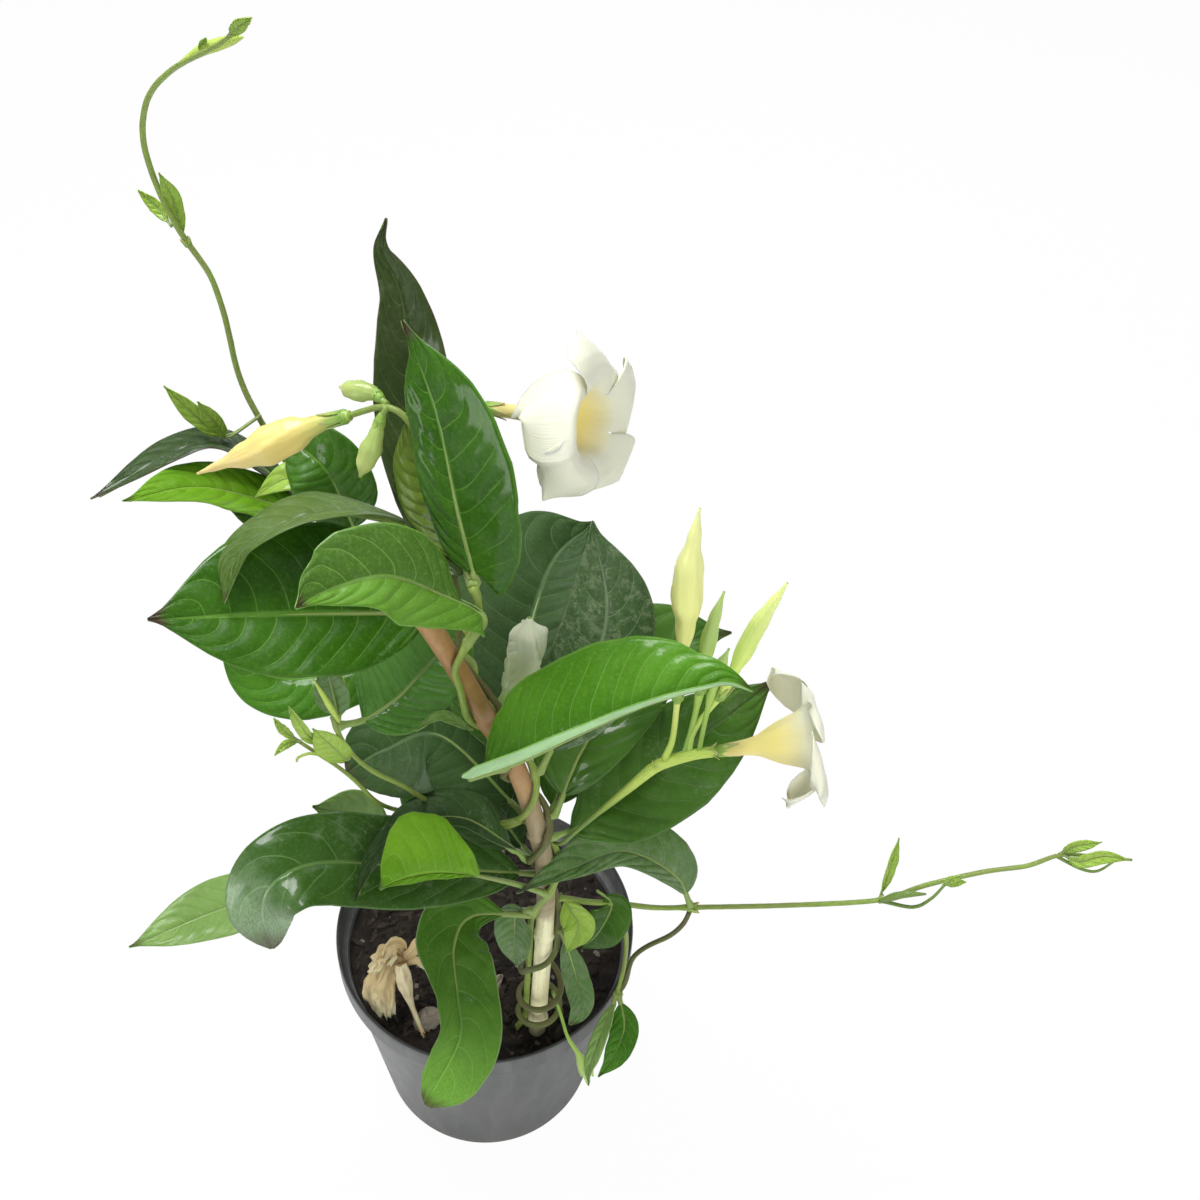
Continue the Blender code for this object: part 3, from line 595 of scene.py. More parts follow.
# half width of a blade, as a share of the widest, by place along it
outlines = {
    "pointed": ((0, 0.05), (0.03, 0.27), (0.07, 0.45), (0.12, 0.62), (0.18, 0.77), (0.26, 0.90), (0.34, 0.97),
                (0.42, 1.0), (0.5, 1.0), (0.58, 0.95), (0.66, 0.86), (0.73, 0.74), (0.8, 0.57), (0.86, 0.39),
                (0.91, 0.23), (0.95, 0.11), (0.98, 0.05), (1, 0.012)),
    "tailed": ((0, 0.05), (0.03, 0.3), (0.07, 0.48), (0.12, 0.65), (0.18, 0.8), (0.26, 0.92), (0.34, 0.98),
               (0.42, 1), (0.54, 1), (0.64, 0.95), (0.72, 0.85), (0.78, 0.71), (0.83, 0.52), (0.865, 0.32),
               (0.89, 0.17), (0.92, 0.1), (0.96, 0.07), (1, 0.012)),
    "kite": ((0, 0.02), (0.06, 0.14), (0.13, 0.34), (0.27, 0.66), (0.37, 0.86), (0.47, 0.97), (0.58, 1.0),
             (0.7, 0.95), (0.78, 0.8), (0.85, 0.52), (0.92, 0.28), (0.97, 0.1), (1, 0.012)),
    "shoulder": ((0, 0.02), (0.07, 0.1), (0.09, 0.4), (0.13, 0.66), (0.2, 0.86), (0.3, 0.97), (0.44, 1.0),
                 (0.56, 0.99), (0.68, 0.88), (0.78, 0.66), (0.86, 0.42), (0.93, 0.2), (1, 0.012)),
    "lip": ((0, 0.1), (0.05, 0.6), (0.11, 1.0), (0.22, 0.97), (0.36, 0.84), (0.5, 0.62), (0.64, 0.46),
            (0.8, 0.32), (0.92, 0.2), (1, 0.012)),
    "hood": ((0, 0.02), (0.16, 0.04), (0.22, 0.3), (0.3, 0.62), (0.43, 0.9), (0.57, 0.98), (0.7, 0.97),
             (0.8, 0.78), (0.88, 0.46), (0.94, 0.18), (1, 0.012)),
    "lap": ((0, 0.14), (0.04, 0.36), (0.12, 0.5), (0.28, 0.84), (0.42, 1.0), (0.57, 0.82), (0.73, 0.5),
            (0.86, 0.26), (1, 0.012)),
    "cowl": ((0, 0.05), (0.06, 0.5), (0.14, 0.95), (0.24, 1.0), (0.4, 0.96), (0.52, 0.88), (0.6, 0.72),
             (0.68, 0.48), (0.8, 0.3), (0.92, 0.14), (1, 0.012)),
    "square": ((0, 0.03), (0.1, 0.28), (0.2, 0.6), (0.3, 0.84), (0.4, 0.95), (0.6, 1), (0.76, 1),
               (0.86, 0.92), (0.92, 0.74), (0.96, 0.5), (1, 0.16)),
    "waisted": ((0, 0.05), (0.08, 0.4), (0.16, 0.76), (0.24, 0.94), (0.32, 0.9), (0.42, 0.62), (0.52, 0.46),
                (0.66, 0.46), (0.8, 0.5), (0.9, 0.42), (0.97, 0.2), (1, 0.012)),
    "lobed": ((0, 0.3), (0.03, 0.42), (0.07, 0.55), (0.15, 0.76), (0.25, 0.92), (0.37, 1.0), (0.5, 0.98),
              (0.63, 0.86), (0.74, 0.66), (0.83, 0.42), (0.9, 0.22), (0.95, 0.1), (1, 0.012)),
    "blunt": ((0, 0.05), (0.03, 0.3), (0.07, 0.48), (0.12, 0.64), (0.18, 0.78), (0.26, 0.90), (0.34, 0.97),
              (0.42, 1.0), (0.55, 1.0), (0.66, 0.97), (0.76, 0.9), (0.84, 0.78), (0.9, 0.62), (0.945, 0.43),
              (0.975, 0.26), (0.992, 0.12), (1, 0.03)),
}


def bladeFrames(start, points, face):
    # places 1 mm apart along the midrib, with the ways along, up and across at each
    midrib = spline([start, *points], 1)
    last = len(midrib) - 1
    frames = []
    for i, centre in enumerate(midrib):
        tangent = (midrib[min(i + 2, last)] - midrib[max(i - 2, 0)]).normalized()
        up = (Vector(face) - tangent * tangent.dot(Vector(face))).normalized()
        frames.append((centre, tangent, up, tangent.cross(up)))
    return frames


def frameAt(frames, share):
    place = max(0.0, min(1.0, share)) * (len(frames) - 1)
    low = min(int(place), len(frames) - 2)
    return [a.lerp(b, place - low) for a, b in zip(frames[low], frames[low + 1])]


def bladeRise(v, a, half, seed, wave, pucker, phase):
    # how far a blade stands up from its folded halves: waves along the edge, the puckers between its side
    # veins, the groove over the midrib and low lumps
    waves = math.sin(v * 15 + 2.3 * seed + (1.9 if a > 0 else 0)) * 0.6 + wobble(v * 4, a, 1, seed)
    rise = half * wave * waves * abs(a) ** 1.8 * math.sin(math.pi * min(1, v * 1.15))
    folded = abs(2 * (phase % 1) - 1)
    fade = smooth(0, 0.15, abs(a)) * (1 - abs(a) ** 5) * smooth(0, 0.08, v) * (1 - smooth(0.85, 0.98, v))
    rise += pucker * smooth(0, 0.75, folded) * fade * min(1, half / 16)
    rise -= blade["groove"] * (1 - smooth(0, 0.12, abs(a))) * (1 - 0.7 * v)
    return rise + blade["lumps"] * wobble(v * 9, a * 3, 7, seed) * smooth(0, 0.3, abs(a))


def addBlade(shape, frames, width, fold, stalkShare, seed, count, belly=1.0, rolled=0.12, wave=0.05,
             pucker=0.24, halves=(1, 1), form="pointed", slip=None, rows=blade["rows"],
             columns=blade["columns"]):
    # the upper face of a blade as a grid; the solidify step gives it its under side. fold, halves and form
    # go by half; slip sets one half of the foot back, given as which half and how far
    half = width / 2
    forms = (form, form) if isinstance(form, str) else form
    grid, marks = [], []
    for r in range(rows + 1):
        v = r / rows
        centre, tangent, up, side = frameAt(frames, stalkShare + (1 - stalkShare) * v ** belly)
        uneven = half * (1 + blade["uneven"] * wobble(v * 7, 0, 0, seed))
        line, row = [], []
        for c in range(columns + 1):
            u = c / columns
            a = 2 * u - 1
            second = int(a > 0)
            along = v + blade["drift"] * wobble(v * 5, a * 2, 3, seed)
            bend = math.radians(fold[second])
            reachHere = uneven * linear(outlines[forms[second]], v)
            reach = reachHere * abs(a) * halves[second]
            phase = (along - blade["sweep"] * abs(a) ** 1.7) * count + blade["offset"] * second
            rise = reach * math.sin(bend) - reachHere * rolled * a * a
            rise += bladeRise(v, a, half, seed, wave, pucker, phase)
            place = centre + up * rise + side * math.copysign(reach * math.cos(bend), a)
            if slip and second == slip[0]:
                place -= tangent * slip[1] * a * a * (1 - smooth(0, 0.35, v))
            line.append(place)
            row.append((u, along))
        grid.append(line)
        marks.append(row)
    shape.grid(grid, marked(marks))


def addRib(name, owner, frames, foot, steps, reach, dropOf, radiusOf, sides):
    # the stalk, which runs on under the blade as its midrib
    line = list(foot)
    for i in range(steps + 1):
        share = i / steps * reach
        centre, _, up, _ = frameAt(frames, share)
        line.append(centre - up * dropOf(share))
    rib = Builder()
    rib.tube(line, radiusOf, sides)
    rib.build(name, owner, [stalkSkin])


def stemStart(stem, first, toward):
    # the point on a stem where a stalk leaves it, the way out from there and the stem's radius
    line, radius = stemLines[stem]
    start = min(line, key=lambda p: (p - Vector(first)).length)
    index = line.index(start)
    along = (line[min(index + 1, len(line) - 1)] - line[max(index - 1, 0)]).normalized()
    out = Vector(toward) - start
    out -= along * out.dot(along)
    nodesOn[stem].append(index / (len(line) - 1))
    return start, out.normalized(), radius


def stalkRadius(share, angle):
    # thickest where the stalk leaves its stem
    return (1.15 - 0.85 * smooth(0, 1, share)) * (1 + 0.5 * (1 - smooth(0, 0.06, share)))


def leaf(name, stem, points, width, face, fold=(17, 17), stalk=8, tone="mid", dust=0.25, tip=0.6, count=10,
         **more):
    # points run from the stem to the tip; stalk is the length of bare stalk
    start, out, radius = stemStart(stem, points[0], points[1])
    frames = bladeFrames(start + out * (radius + 0.75), points[1:], face)
    stalkShare = stalk / (len(frames) - 1)
    seed = sum(ord(letter) * (i + 1) for i, letter in enumerate(name)) % 97 * 0.31
    shape = Builder()
    addBlade(shape, frames, width, fold, stalkShare, seed, count, **more)
    shape.build("blade_" + name, "leaf_" + name, leafSkin(tone, dust, tip, float(count)),
                blade["thick"], 1, 2)
    addRib("stalk_" + name, "leaf_" + name, frames, [start + out * (radius * 0.4)], 60, 0.97,
           lambda share: 0.1 + 0.75 * smooth(stalkShare * 0.8, stalkShare * 1.2, share), stalkRadius, 8)


leaf("top_dark", "vine_b", ((5, -39, 360), (-6, -20, 366), (-16, 2, 381), (-20, 17, 398), (-23, 23, 418),
                            (-28, 25, 431), (-26, 26, 440)), 32, (-0.4, -0.9, 0.1), (62, 3),
     halves=(0.9, 0.84), stalk=4, form=("lobed", "pointed"), tone="bronze", dust=0.35, tip=0.3)
leaf("top_bright", "vine_b", ((5, -39, 360), (-1, -29, 380), (-8, -17, 407), (-18, -3, 426)), 40,
     (-0.35, -0.8, 0.45), (20, 14), halves=(0.5, 1.12), stalk=3, belly=1.15, form=("tailed", "lobed"),
     slip=(1, 7), tone="deep", dust=0.1, tip=1.0)
leaf("edge_olive", "vine_b", ((5, -39, 360), (-5, -24, 371), (-12, -16, 384), (-17, -10, 400)), 23,
     (-0.55, -0.8, 0.3), (25, 10), tone="olive", dust=0.15, tip=0)
leaf("left_dark_far", "runner_left", ((-58, 40, 315), (-94, 41, 342), (-129, 15, 337)), 26, (-0.1, 0.3, 0.95),
     tone="spruce", dust=1.0)
leaf("left_bright", "runner_left", ((-56, 36, 312), (-91, 23, 338), (-113, 4, 347)), 24, (0, -0.1, 0.95),
     tone="yellow", dust=0.1)
leaf("round_dark", "runner_left", ((-45, 26, 306), (-52, 27, 344), (-65, 36, 350)), 28, (0.2, -0.9, 0.5),
     tone="deep", dust=0.3, form="blunt", pucker=0.1)
leaf("left_back", "runner_left", ((-62, 43, 318), (-79, 38, 318), (-91, 34, 320)), 22, (0, -0.4, 0.9))
leaf("long_arch", "vine_a", ((-11, -10, 360), (-34, -22, 372), (-49, -29, 373), (-62, -39, 369),
                             (-65, -52, 361)), 24, (-0.3, 0.25, 0.9), halves=(0.85, 1.1), tone="sage",
     dust=0.3)
leaf("big_left", "vine_a", ((-1, -31, 340), (-48, -47, 353), (-84, -60, 361)), 42, (-0.1, -0.5, 0.85),
     (17, 8), halves=(1, 1.35), tone="calm", dust=0.3, tip=0.95, pucker=0.16)
leaf("under_big", "runner_left", ((-10, -20, 317), (-58, -30, 305), (-80, -29, 321)), 38, (-0.2, -0.6, 0.75),
     halves=(0.78, 1), tone="fresh", dust=0.15)
leaf("mid_centre", "vine_b", ((2, -43, 342), (7.5, -42.5, 352.5), (-4.8, -43.5, 362), (-19.3, -48.3, 372.2),
                              (-34.5, -58.1, 373.9), (-39.8, -66.2, 375.8)), 34, (0.1, -0.55, 0.8), (12, 28),
     halves=(0.78, 0.95), stalk=11, slip=(0, 6), form=("lap", "hood"), tone="bright", dust=0.4, tip=0.8)
leaf("glossy_mid", "side_shoot_left", ((-38.6, -46.4, 306.6), (-31.2, -43.7, 303.3), (-22.1, -37.5, 306.5),
                                       (-16, -32, 311), (-8, -24.6, 317.4), (-1, -19, 322)), 30,
     (-0.2, -0.7, 0.7), halves=(1.5, 1.0), form="blunt", tone="glossy", dust=0.4, count=12)
leaf("front_low", "vine_b", ((23, -42, 192), (1, -48, 198), (-4, -60, 196), (-1, -76, 190), (1, -90, 184),
                             (-9, -109, 173)), 36, (0.1, -0.6, 0.8), halves=(0.86, 0.92),
     form=("square", "waisted"), tone="front", dust=0.15, tip=0.7, count=9)
leaf("left_low", "vine_a", ((22, -44, 208), (-20, -49, 230), (-47, -60, 246), (-60, -69, 248),
                            (-65, -75, 239), (-63, -80, 222)), 42, (-0.1, -0.4, 0.9), halves=(0.78, 0.84),
     form="blunt", tone="broad", dust=0.55, count=9)
leaf("far_left_low", "back_stem", ((-56, -25, 182), (-90, -45, 190), (-122, -66, 192)), 26,
     (-0.1, -0.2, 0.95), tone="lit", dust=0.5)
leaf("small_bright", "vine_b", ((29, -44, 212), (17, -50, 225), (5.2, -58.3, 241), (-8, -60.3, 244.6),
                                (-19.3, -63.8, 245), (-26.4, -68.2, 244.6)), 30, (0, -0.75, 0.6),
     halves=(0.2, 1.6), stalk=37, form="kite", tone="yellow", dust=0.05, count=7)
leaf("dark_narrow", "vine_a", ((21, -41, 228), (14, -44, 241), (-1, -43, 253), (-17.5, -46, 252.5),
                               (-30, -56, 245.5), (-35, -70, 239.5)), 12, (-0.2, 0.1, 0.95), halves=(1, 1.9),
     form=("pointed", "cowl"), tone="shade", dust=0.9)
leaf("right_big", "vine_a", ((14, -46, 287), (4.2, -59.5, 297.5), (19.4, -59, 307), (38.5, -58.4, 322.6),
                             (57, -55.5, 333.5), (73.6, -53.2, 339.8), (80, -53, 341.9),
                             (87.2, -53.7, 340.3)), 48, (0, -0.4, 0.9), (8, 84), halves=(1.02, 1.0), stalk=19,
     form=("shoulder", "lip"), tone="crown", dust=0.1, tip=0.7, pucker=0.4, count=14)
leaf("speckled", "vine_b", ((23, -39, 276), (43, -14, 320), (37, 6, 349)), 34, (0, -0.8, 0.5), (9, 9),
     halves=(0.88, 1.02), tone="mottled", dust=1.0, tip=0)
leaf("back_top", "vine_b", ((12, -36, 289), (22, 20, 311), (37, 40, 319)), 40, (-0.1, -0.5, 0.8),
     halves=(1.55, 1), tone="shade", dust=0.2, tip=0)
leaf("back_right_up", "vine_a", ((28, -39, 250), (40, -24, 276), (62, 10, 284), (89, 21, 287)), 32,
     (0, -0.4, 0.9), halves=(1.6, 1), tone="dark", dust=0.3)
leaf("right_dark", "vine_a", ((28, -43, 244), (42, -36, 246), (67, -22, 262), (102, -8, 295)), 40,
     (0.1, -0.6, 0.8), tone="dark", dust=0.5, tip=0.8)
leaf("right_low", "runner_right", ((84, -27, 179), (76, -26, 201), (56, -30, 220), (36, -43, 225),
                                   (18, -52, 222)), 33, (0.2, -0.5, 0.85), halves=(0.36, 0.86), belly=1.15,
     tone="dusty", dust=0.7)
leaf("inner_left", "vine_b", ((21, -35, 243), (-12, -12, 258), (-32, -18, 256), (-45, -25, 250)), 36,
     (0, -0.3, 0.95), halves=(1.4, 1), form="blunt", tone="shade", pucker=0.12)
leaf("inner_low", "vine_a", ((25, -35, 213), (-2, -18, 236), (-27, -22, 239)), 34, (0, -0.3, 0.95),
     tone="shade", pucker=0.12)
leaf("pale_left", "back_stem", ((-48, -14, 174), (-46, -20, 215), (-57, -31, 237)), 26, (0, -0.6, 0.8),
     tone="pale", dust=0.7)
leaf("drooping_blue", "vine_b", ((22, -37, 199), (17, -42, 191), (17, -47, 179), (18, -50, 167)), 16,
     (-0.3, -0.8, 0.4), stalk=3, tone="dusty", dust=0.5)
leaf("drooping_yellow", "vine_a", ((34, -35, 178), (41, -48, 160), (44, -55, 150), (40, -60, 143)), 11,
     (0.2, -0.9, 0.3), stalk=5, tone="dusty", dust=0.4, form="blunt")
leaf("back_left", "vine_a", ((14, -38, 270), (-6, 22, 282), (-30, 52, 272)), 38, (-0.2, 0.5, 0.85))
leaf("back_right", "vine_b", ((26, -34, 236), (42, 24, 250), (52, 62, 238)), 38, (0.2, 0.5, 0.85),
     tone="dark")
leaf("back_low", "back_stem", ((-14, 28, 112), (-30, 52, 150), (-46, 78, 158)), 34, (-0.3, 0.4, 0.85),
     dust=0.5)
leaf("hanging_front", "hanging_shoot", ((59, -35, 123), (62.5, -46, 117), (59, -56, 111), (53, -63.5, 107)),
     13, (0.1, -0.9, 0.4), stalk=3, tone="fresh", dust=0.1, count=7)
leaf("hanging_back", "hanging_shoot", ((58, -36, 124), (53, -50.5, 118), (49, -61.5, 110), (49, -67, 106)), 8,
     (-0.6, -0.6, 0.4), stalk=3, tone="pale", dust=0.1, count=7)
print("leaves ready")


# ---- stem meshes -------------------------------------------------------------------------------------

def stemPiece(name, radii, skin, seed):
    line, _ = stemLines[name]
    steps = 3 * (len(line) - 1)
    fine = [atShare(line, i / steps) for i in range(steps + 1)]
    for _ in range(3):  # ease the corners of the coarse line
        fine = [fine[0], *((a + 2 * b + c) / 4 for a, b, c in zip(fine, fine[1:], fine[2:])), fine[-1]]
    length = lengthOf(fine)

    def radiusOf(share, angle):
        swell = sum(math.exp(-((share - spot) * length / 2.6) ** 2) for spot in nodesOn[name])
        ridge = 0.05 * math.sin(3 * angle + share * length * 0.12)
        rough = 0.08 * wobble(share * length * 0.2, angle, 0, seed)
        return between(radii, share) * (1 + 0.45 * min(1, swell) + ridge + rough)

    shape = Builder()
    shape.tube(fine, radiusOf, 12)
    shape.build("stem_" + name, name, [skin])


for index, name in enumerate(stemLines):
    if name in climbers:
        stemPiece(name, vine["radii"], climbers[name]["skin"], index)
    else:
        radii, skin = branches[name][1:]
        stemPiece(name, radii, skin, index)


def caneSkins():
    # yellow cane, stained above its second joint, warmer near the top and damp near the mix; and its sawn end
    mat, t, shader = newMaterial("bambooCane")
    place = t.place()
    height = t.parts(place)[2]
    worn = t.group(wear, place=place, scale=55.0)
    fibres = t.noise(t.stretched(place, (900.0, 900.0, 16.0)), 1.0, 4.0, 0.6)
    streaks = t.noise(t.stretched(place, (260.0, 260.0, 7.0)), 1.0, 3.0, 0.6)
    colour = t.mix(t.ramp(fibres, 0.3, 0.7), (0.78, 0.74, 0.40), (0.95, 0.92, 0.62))
    colour = t.tint(colour, t.ramp(streaks, 0.52, 0.72), 0.3, (0.36, 0.26, 0.11))
    colour = t.tint(colour, t.ramp(t.scaled(worn["blotch"], 0.012, height), 0.186, 0.21), 0.85,
                    t.mix(streaks, (0.13, 0.085, 0.04), (0.26, 0.185, 0.095)))
    colour = t.tint(colour, t.ramp(height, 0.245, 0.285), 0.85,
                    t.mix(worn["blotch"], (0.30, 0.14, 0.04), (0.46, 0.26, 0.10)))
    colour = t.tint(colour, t.ramp(height, 0.125, 0.098), 0.6, (0.14, 0.10, 0.05))
    colour = t.tint(colour, t.ramp(worn["grain"], 0.62, 0.75), 0.5, (0.10, 0.07, 0.04))
    t.surface(shader, colour=colour, rough=t.scaled(worn["blotch"], 0.2, 0.42), coat=0.15,
              normal=t.bump(t.scaled(fibres, 0.8, worn["grain"]), 0.0003, 0.8))
    end, t, shader = newMaterial("bambooEnd")
    pores = t.cells(t.place(), 2400.0)
    t.surface(shader, colour=t.mix(t.ramp(pores, 0.1, 0.5), (0.13, 0.08, 0.03), (0.42, 0.31, 0.15)),
              rough=t.scaled(pores, 0.2, 0.75), normal=t.bump(pores, 0.0003, 0.8))
    return [mat, end]


def caneRadius(share, angle):
    # a slow taper, with a sharp ring, a groove above it and a wide swelling at each joint
    height = atShare(caneLine, share).z
    ring = sum(0.55 * math.exp(-((height - spot) / 0.9) ** 2)
               - 0.3 * math.exp(-((height - spot - 2.3) / 0.8) ** 2)
               + 0.28 * math.exp(-((height - spot) / 4.5) ** 2) for spot in cane["nodeHeights"])
    ripple = 0.06 * math.sin(5 * angle) + 0.05 * wobble(height * 0.1, angle, 0)
    return cane["radius"] * (1 - 0.08 * share) + ring + ripple


def makeCane():
    skins = caneSkins()
    fine = [atShare(caneLine, i / 300) for i in range(301)]
    shape = Builder()
    shape.tube(fine, caneRadius, 24)
    obj = shape.build("cane", "bamboo_cane", skins)
    # the last cap is the sawn end, with its hollow
    obj.data.polygons[-1].material_index = 1
    tipPoint = fine[-1]
    axis = (tipPoint - fine[-4]).normalized()
    across = axis.orthogonal().normalized()
    cup = [[tipPoint + axis * along + (Quaternion(axis, angle) @ across) * radius for angle in around(20)]
           for radius, along in ((3.2, 0.05), (1.5, 0.1), (1.4, -0.2), (0.2, -0.22))]
    ends = Builder()
    ends.grid(cup, closed=True)
    ends.build("caneEnd", "bamboo_cane", [skins[1]])


makeCane()
print("stems and cane ready")


# ---- flowers -----------------------------------------------------------------------------------------

def petalSkin():
    # white lobes, yellow deep in the throat; uv.y runs from the tube's foot (0) to the lobe tips (1)
    mat, t, shader = newMaterial("petal")
    v = t.parts(t.leafUv())[1]
    lines = t.noise(t.stretched(t.leafUv(), (26.0, 1.6, 1.0)), 2.0, 3.0, 0.6)
    soft = t.noise(t.place(), 120.0, 3.0, 0.5)
    throat = t.mix(t.ramp(v, 0.04, 0.2), (0.70, 0.60, 0.20), (0.96, 0.80, 0.27))
    colour = t.mix(t.ramp(t.scaled(soft, 0.08, v), 0.36, 0.60), throat, (0.74, 0.74, 0.60))
    colour = t.tint(colour, t.ramp(lines, 0.45, 0.7), 0.10, (0.66, 0.67, 0.48))
    colour = t.tint(colour, t.ramp(soft, 0.5, 0.75), 0.08, (0.72, 0.69, 0.47))
    t.surface(shader, colour=colour, rough=t.scaled(soft, 0.2, 0.45), sheen=0.2, soft=0.35,
              softTint=(1.0, 0.95, 0.6), softDepth=0.001,
              normal=t.bump(t.scaled(soft, 0.5, lines), 0.0003, 0.6))
    return mat


def budSkin(name, low, middle, high, rough=0.45, streak=0.12):
    # colour runs from the foot of the bud (0) to its tip (1)
    mat, t, shader = newMaterial(name)
    v = t.parts(t.leafUv())[1]
    lines = t.noise(t.stretched(t.leafUv(), (9.0, 1.0, 1.0)), 2.0, 3.0, 0.5)
    soft = t.noise(t.place(), 160.0, 3.0, 0.5)
    colour = t.mix(t.ramp(v, 0.5, 0.95), t.mix(t.ramp(v, 0.05, 0.45), low, middle), high)
    colour = t.tint(colour, t.ramp(lines, 0.45, 0.7), streak, low)
    t.surface(shader, colour=colour, rough=t.scaled(soft, 0.2, rough - 0.1), coat=0.15, soft=0.2,
              softDepth=0.001, normal=t.bump(t.scaled(soft, 0.5, lines), 0.0003, 0.7))
    return mat


petal = petalSkin()
greenBud = budSkin("greenBud", (0.22, 0.38, 0.06), (0.34, 0.52, 0.09), (0.44, 0.60, 0.18))
creamBud = budSkin("creamBud", (0.44, 0.58, 0.10), (0.82, 0.82, 0.26), (0.84, 0.86, 0.36))
limeBud = budSkin("limeBud", (0.34, 0.50, 0.09), (0.62, 0.78, 0.17), (0.76, 0.86, 0.30))
peachBud = budSkin("peachBud", (0.38, 0.48, 0.12), (0.80, 0.64, 0.21), (0.76, 0.60, 0.24))
mossBud = budSkin("mossBud", (0.20, 0.32, 0.06), (0.36, 0.48, 0.13), (0.52, 0.60, 0.20))
paleBud = budSkin("paleBud", (0.15, 0.26, 0.05), (0.40, 0.48, 0.24), (0.64, 0.68, 0.50))
driedSkin = budSkin("driedPetal", (0.32, 0.22, 0.10), (0.58, 0.45, 0.23), (0.74, 0.66, 0.42), 0.75, 0.4)
litterSkin = budSkin("leafLitter", (0.13, 0.11, 0.085), (0.20, 0.17, 0.13), (0.26, 0.22, 0.17), 0.85)
sepalSkin = budSkin("sepal", (0.20, 0.36, 0.05), (0.34, 0.48, 0.10), (0.50, 0.50, 0.20))

# profile: radius by height of the funnel; widths and lifts: half width and rise along a lobe
corollaForm = dict(
    profile=((0, 1.6), (3, 1.9), (8, 2.3), (11, 2.8), (13, 3.3), (15, 4.3), (18, 5.8), (21, 7.0), (24, 8.0),
             (26.5, 8.9), (28, 9.8)),
    widths=((0, 5.8), (0.12, 8.4), (0.3, 11.4), (0.5, 13.0), (0.7, 12.8), (0.84, 10.4), (0.94, 6.6),
            (1, 1.8)),
    lifts=((0, 0), (0.08, 1.0), (0.2, 2.2), (0.4, 3.0), (0.62, 2.5), (0.82, 0.9), (1, -1.4)),
    lobes=5, long=16.5, skew=5.5, flute=0.05, columns=20, rows=26)
sepalForm = dict(count=5, turned=0.4, rows=10, columns=6, bowed=0.12,
                 widths=((0, 0.85), (0.3, 1.0), (0.7, 0.55), (1, 0.05)))


def lobePoint(look, rim, middle, turned, index, a, s):
    # a place on a lobe of the corolla, across it (a, -1 to 1) and along it (s, 0 to 1)
    form = corollaForm
    fifth = math.pi / form["lobes"]
    rollSide = look.get("rollSide", 1)
    reach = rim.x * (1 + form["flute"] * math.cos(a * math.pi))
    wide = linear(form["widths"], s) * look.get("wide", 1)
    leaves = smooth(0, 0.15, s)
    across = reach * math.sin(a * fifth) * (1 - leaves) + a * wide * leaves + form["skew"] * s * s
    out = reach * math.cos(a * fifth) + form["long"] * look.get("long", 1) * s * (1 - 0.1 * a * a)
    lift = rim.z + linear(form["lifts"], s)
    lift += (1.1 * a - 1.4 * abs(a) ** 2.5 * s) * smooth(0, 0.3, s)
    lift += (0.9 * wobble(s * 3, a * 1.6, index * 3.1, turned)
             + 0.45 * math.sin(a * 7 + s * 4 + index) * abs(a)) * s
    bent = look.get("curl", 0) * smooth(0.15, 1.0, s) ** 1.3
    rolled = look.get("roll", 0) * smooth(0.55, 1.0, a * rollSide) * smooth(0, 0.4, s)
    return polar(middle, out - 0.35 * abs(bent), lift - bent - rolled, across - rolled * 0.55 * rollSide)


def corolla(name, base, face, turned, petals, neck=0.0):
    # a funnel that opens into five lobes, like a pinwheel; each lobe carries its fifth of the funnel
    turn = Vector(face).to_track_quat("Z", "Y")
    foot = Vector(base)
    form = corollaForm
    profile = spline([(r, 0, z + (neck if z else 0)) for z, r in form["profile"]], 1.2)
    rim = profile[-1]
    fifth = math.pi / form["lobes"]
    columns = [1 - 2 * c / form["columns"] for c in range(form["columns"] + 1)]
    shape = Builder()
    for index, look in enumerate(petals):
        middle = turned + 2 * fifth * index
        grid, marks = [], []
        for p in profile:
            flute = form["flute"] * smooth(8, 20, p.z)
            reaches = [p.x * (1 + flute * math.cos(a * math.pi)) for a in columns]
            grid.append([foot + turn @ polar(middle + a * fifth, reach, p.z)
                         for a, reach in zip(columns, reaches)])
            marks.append([(index * 1.1 + a * 0.5, 0.5 * p.z / rim.z) for a in columns])
        for r in range(1, form["rows"] + 1):
            s = r / form["rows"]
            grid.append([foot + turn @ lobePoint(look, rim, middle, turned, index, a, s) for a in columns])
            marks.append([(index * 1.1 + a * 0.5, 0.5 + 0.5 * s) for a in columns])
        shape.grid(grid, marked(marks))
    shape.build("corolla_" + name, name, [petal], 0.35)
    # sepals hug the foot of the tube
    addSepals(name, foot - turn @ Vector((0, 0, 1.0)), turn, 1.7, 7.5, 2.6)


def addSepals(name, foot, turn, radius, long, wide, spread=0.10):
    form = sepalForm
    shape = Builder()
    for k, angle in enumerate(around(form["count"])):
        grid = []
        for r in range(form["rows"] + 1):
            s = r / form["rows"]
            half = wide / 2 * linear(form["widths"], s)
            out = radius + 0.3 + spread * long * s * s * (1.2 if k % 2 else 0.6)
            sides = [(2 * c / form["columns"] - 1) * half for c in range(form["columns"] + 1)]
            grid.append([foot + turn @ polar(angle + form["turned"], out - form["bowed"] * across ** 2,
                                             long * s, across) for across in sides])
        shape.grid(grid)
    # the green cup under them
    cup = ((-2.2, 0.9), (-1.4, 1.25), (-0.4, radius + 0.15), (0.6, radius + 0.35), (1.6, radius + 0.2))
    rows = [[foot + turn @ polar(angle, reach, along) for angle in around(16)] for along, reach in cup]
    shape.grid(rows, lambda v, u: (u, v * 0.4), closed=True)
    shape.build("sepals_" + name, name, [sepalSkin], 0.3)


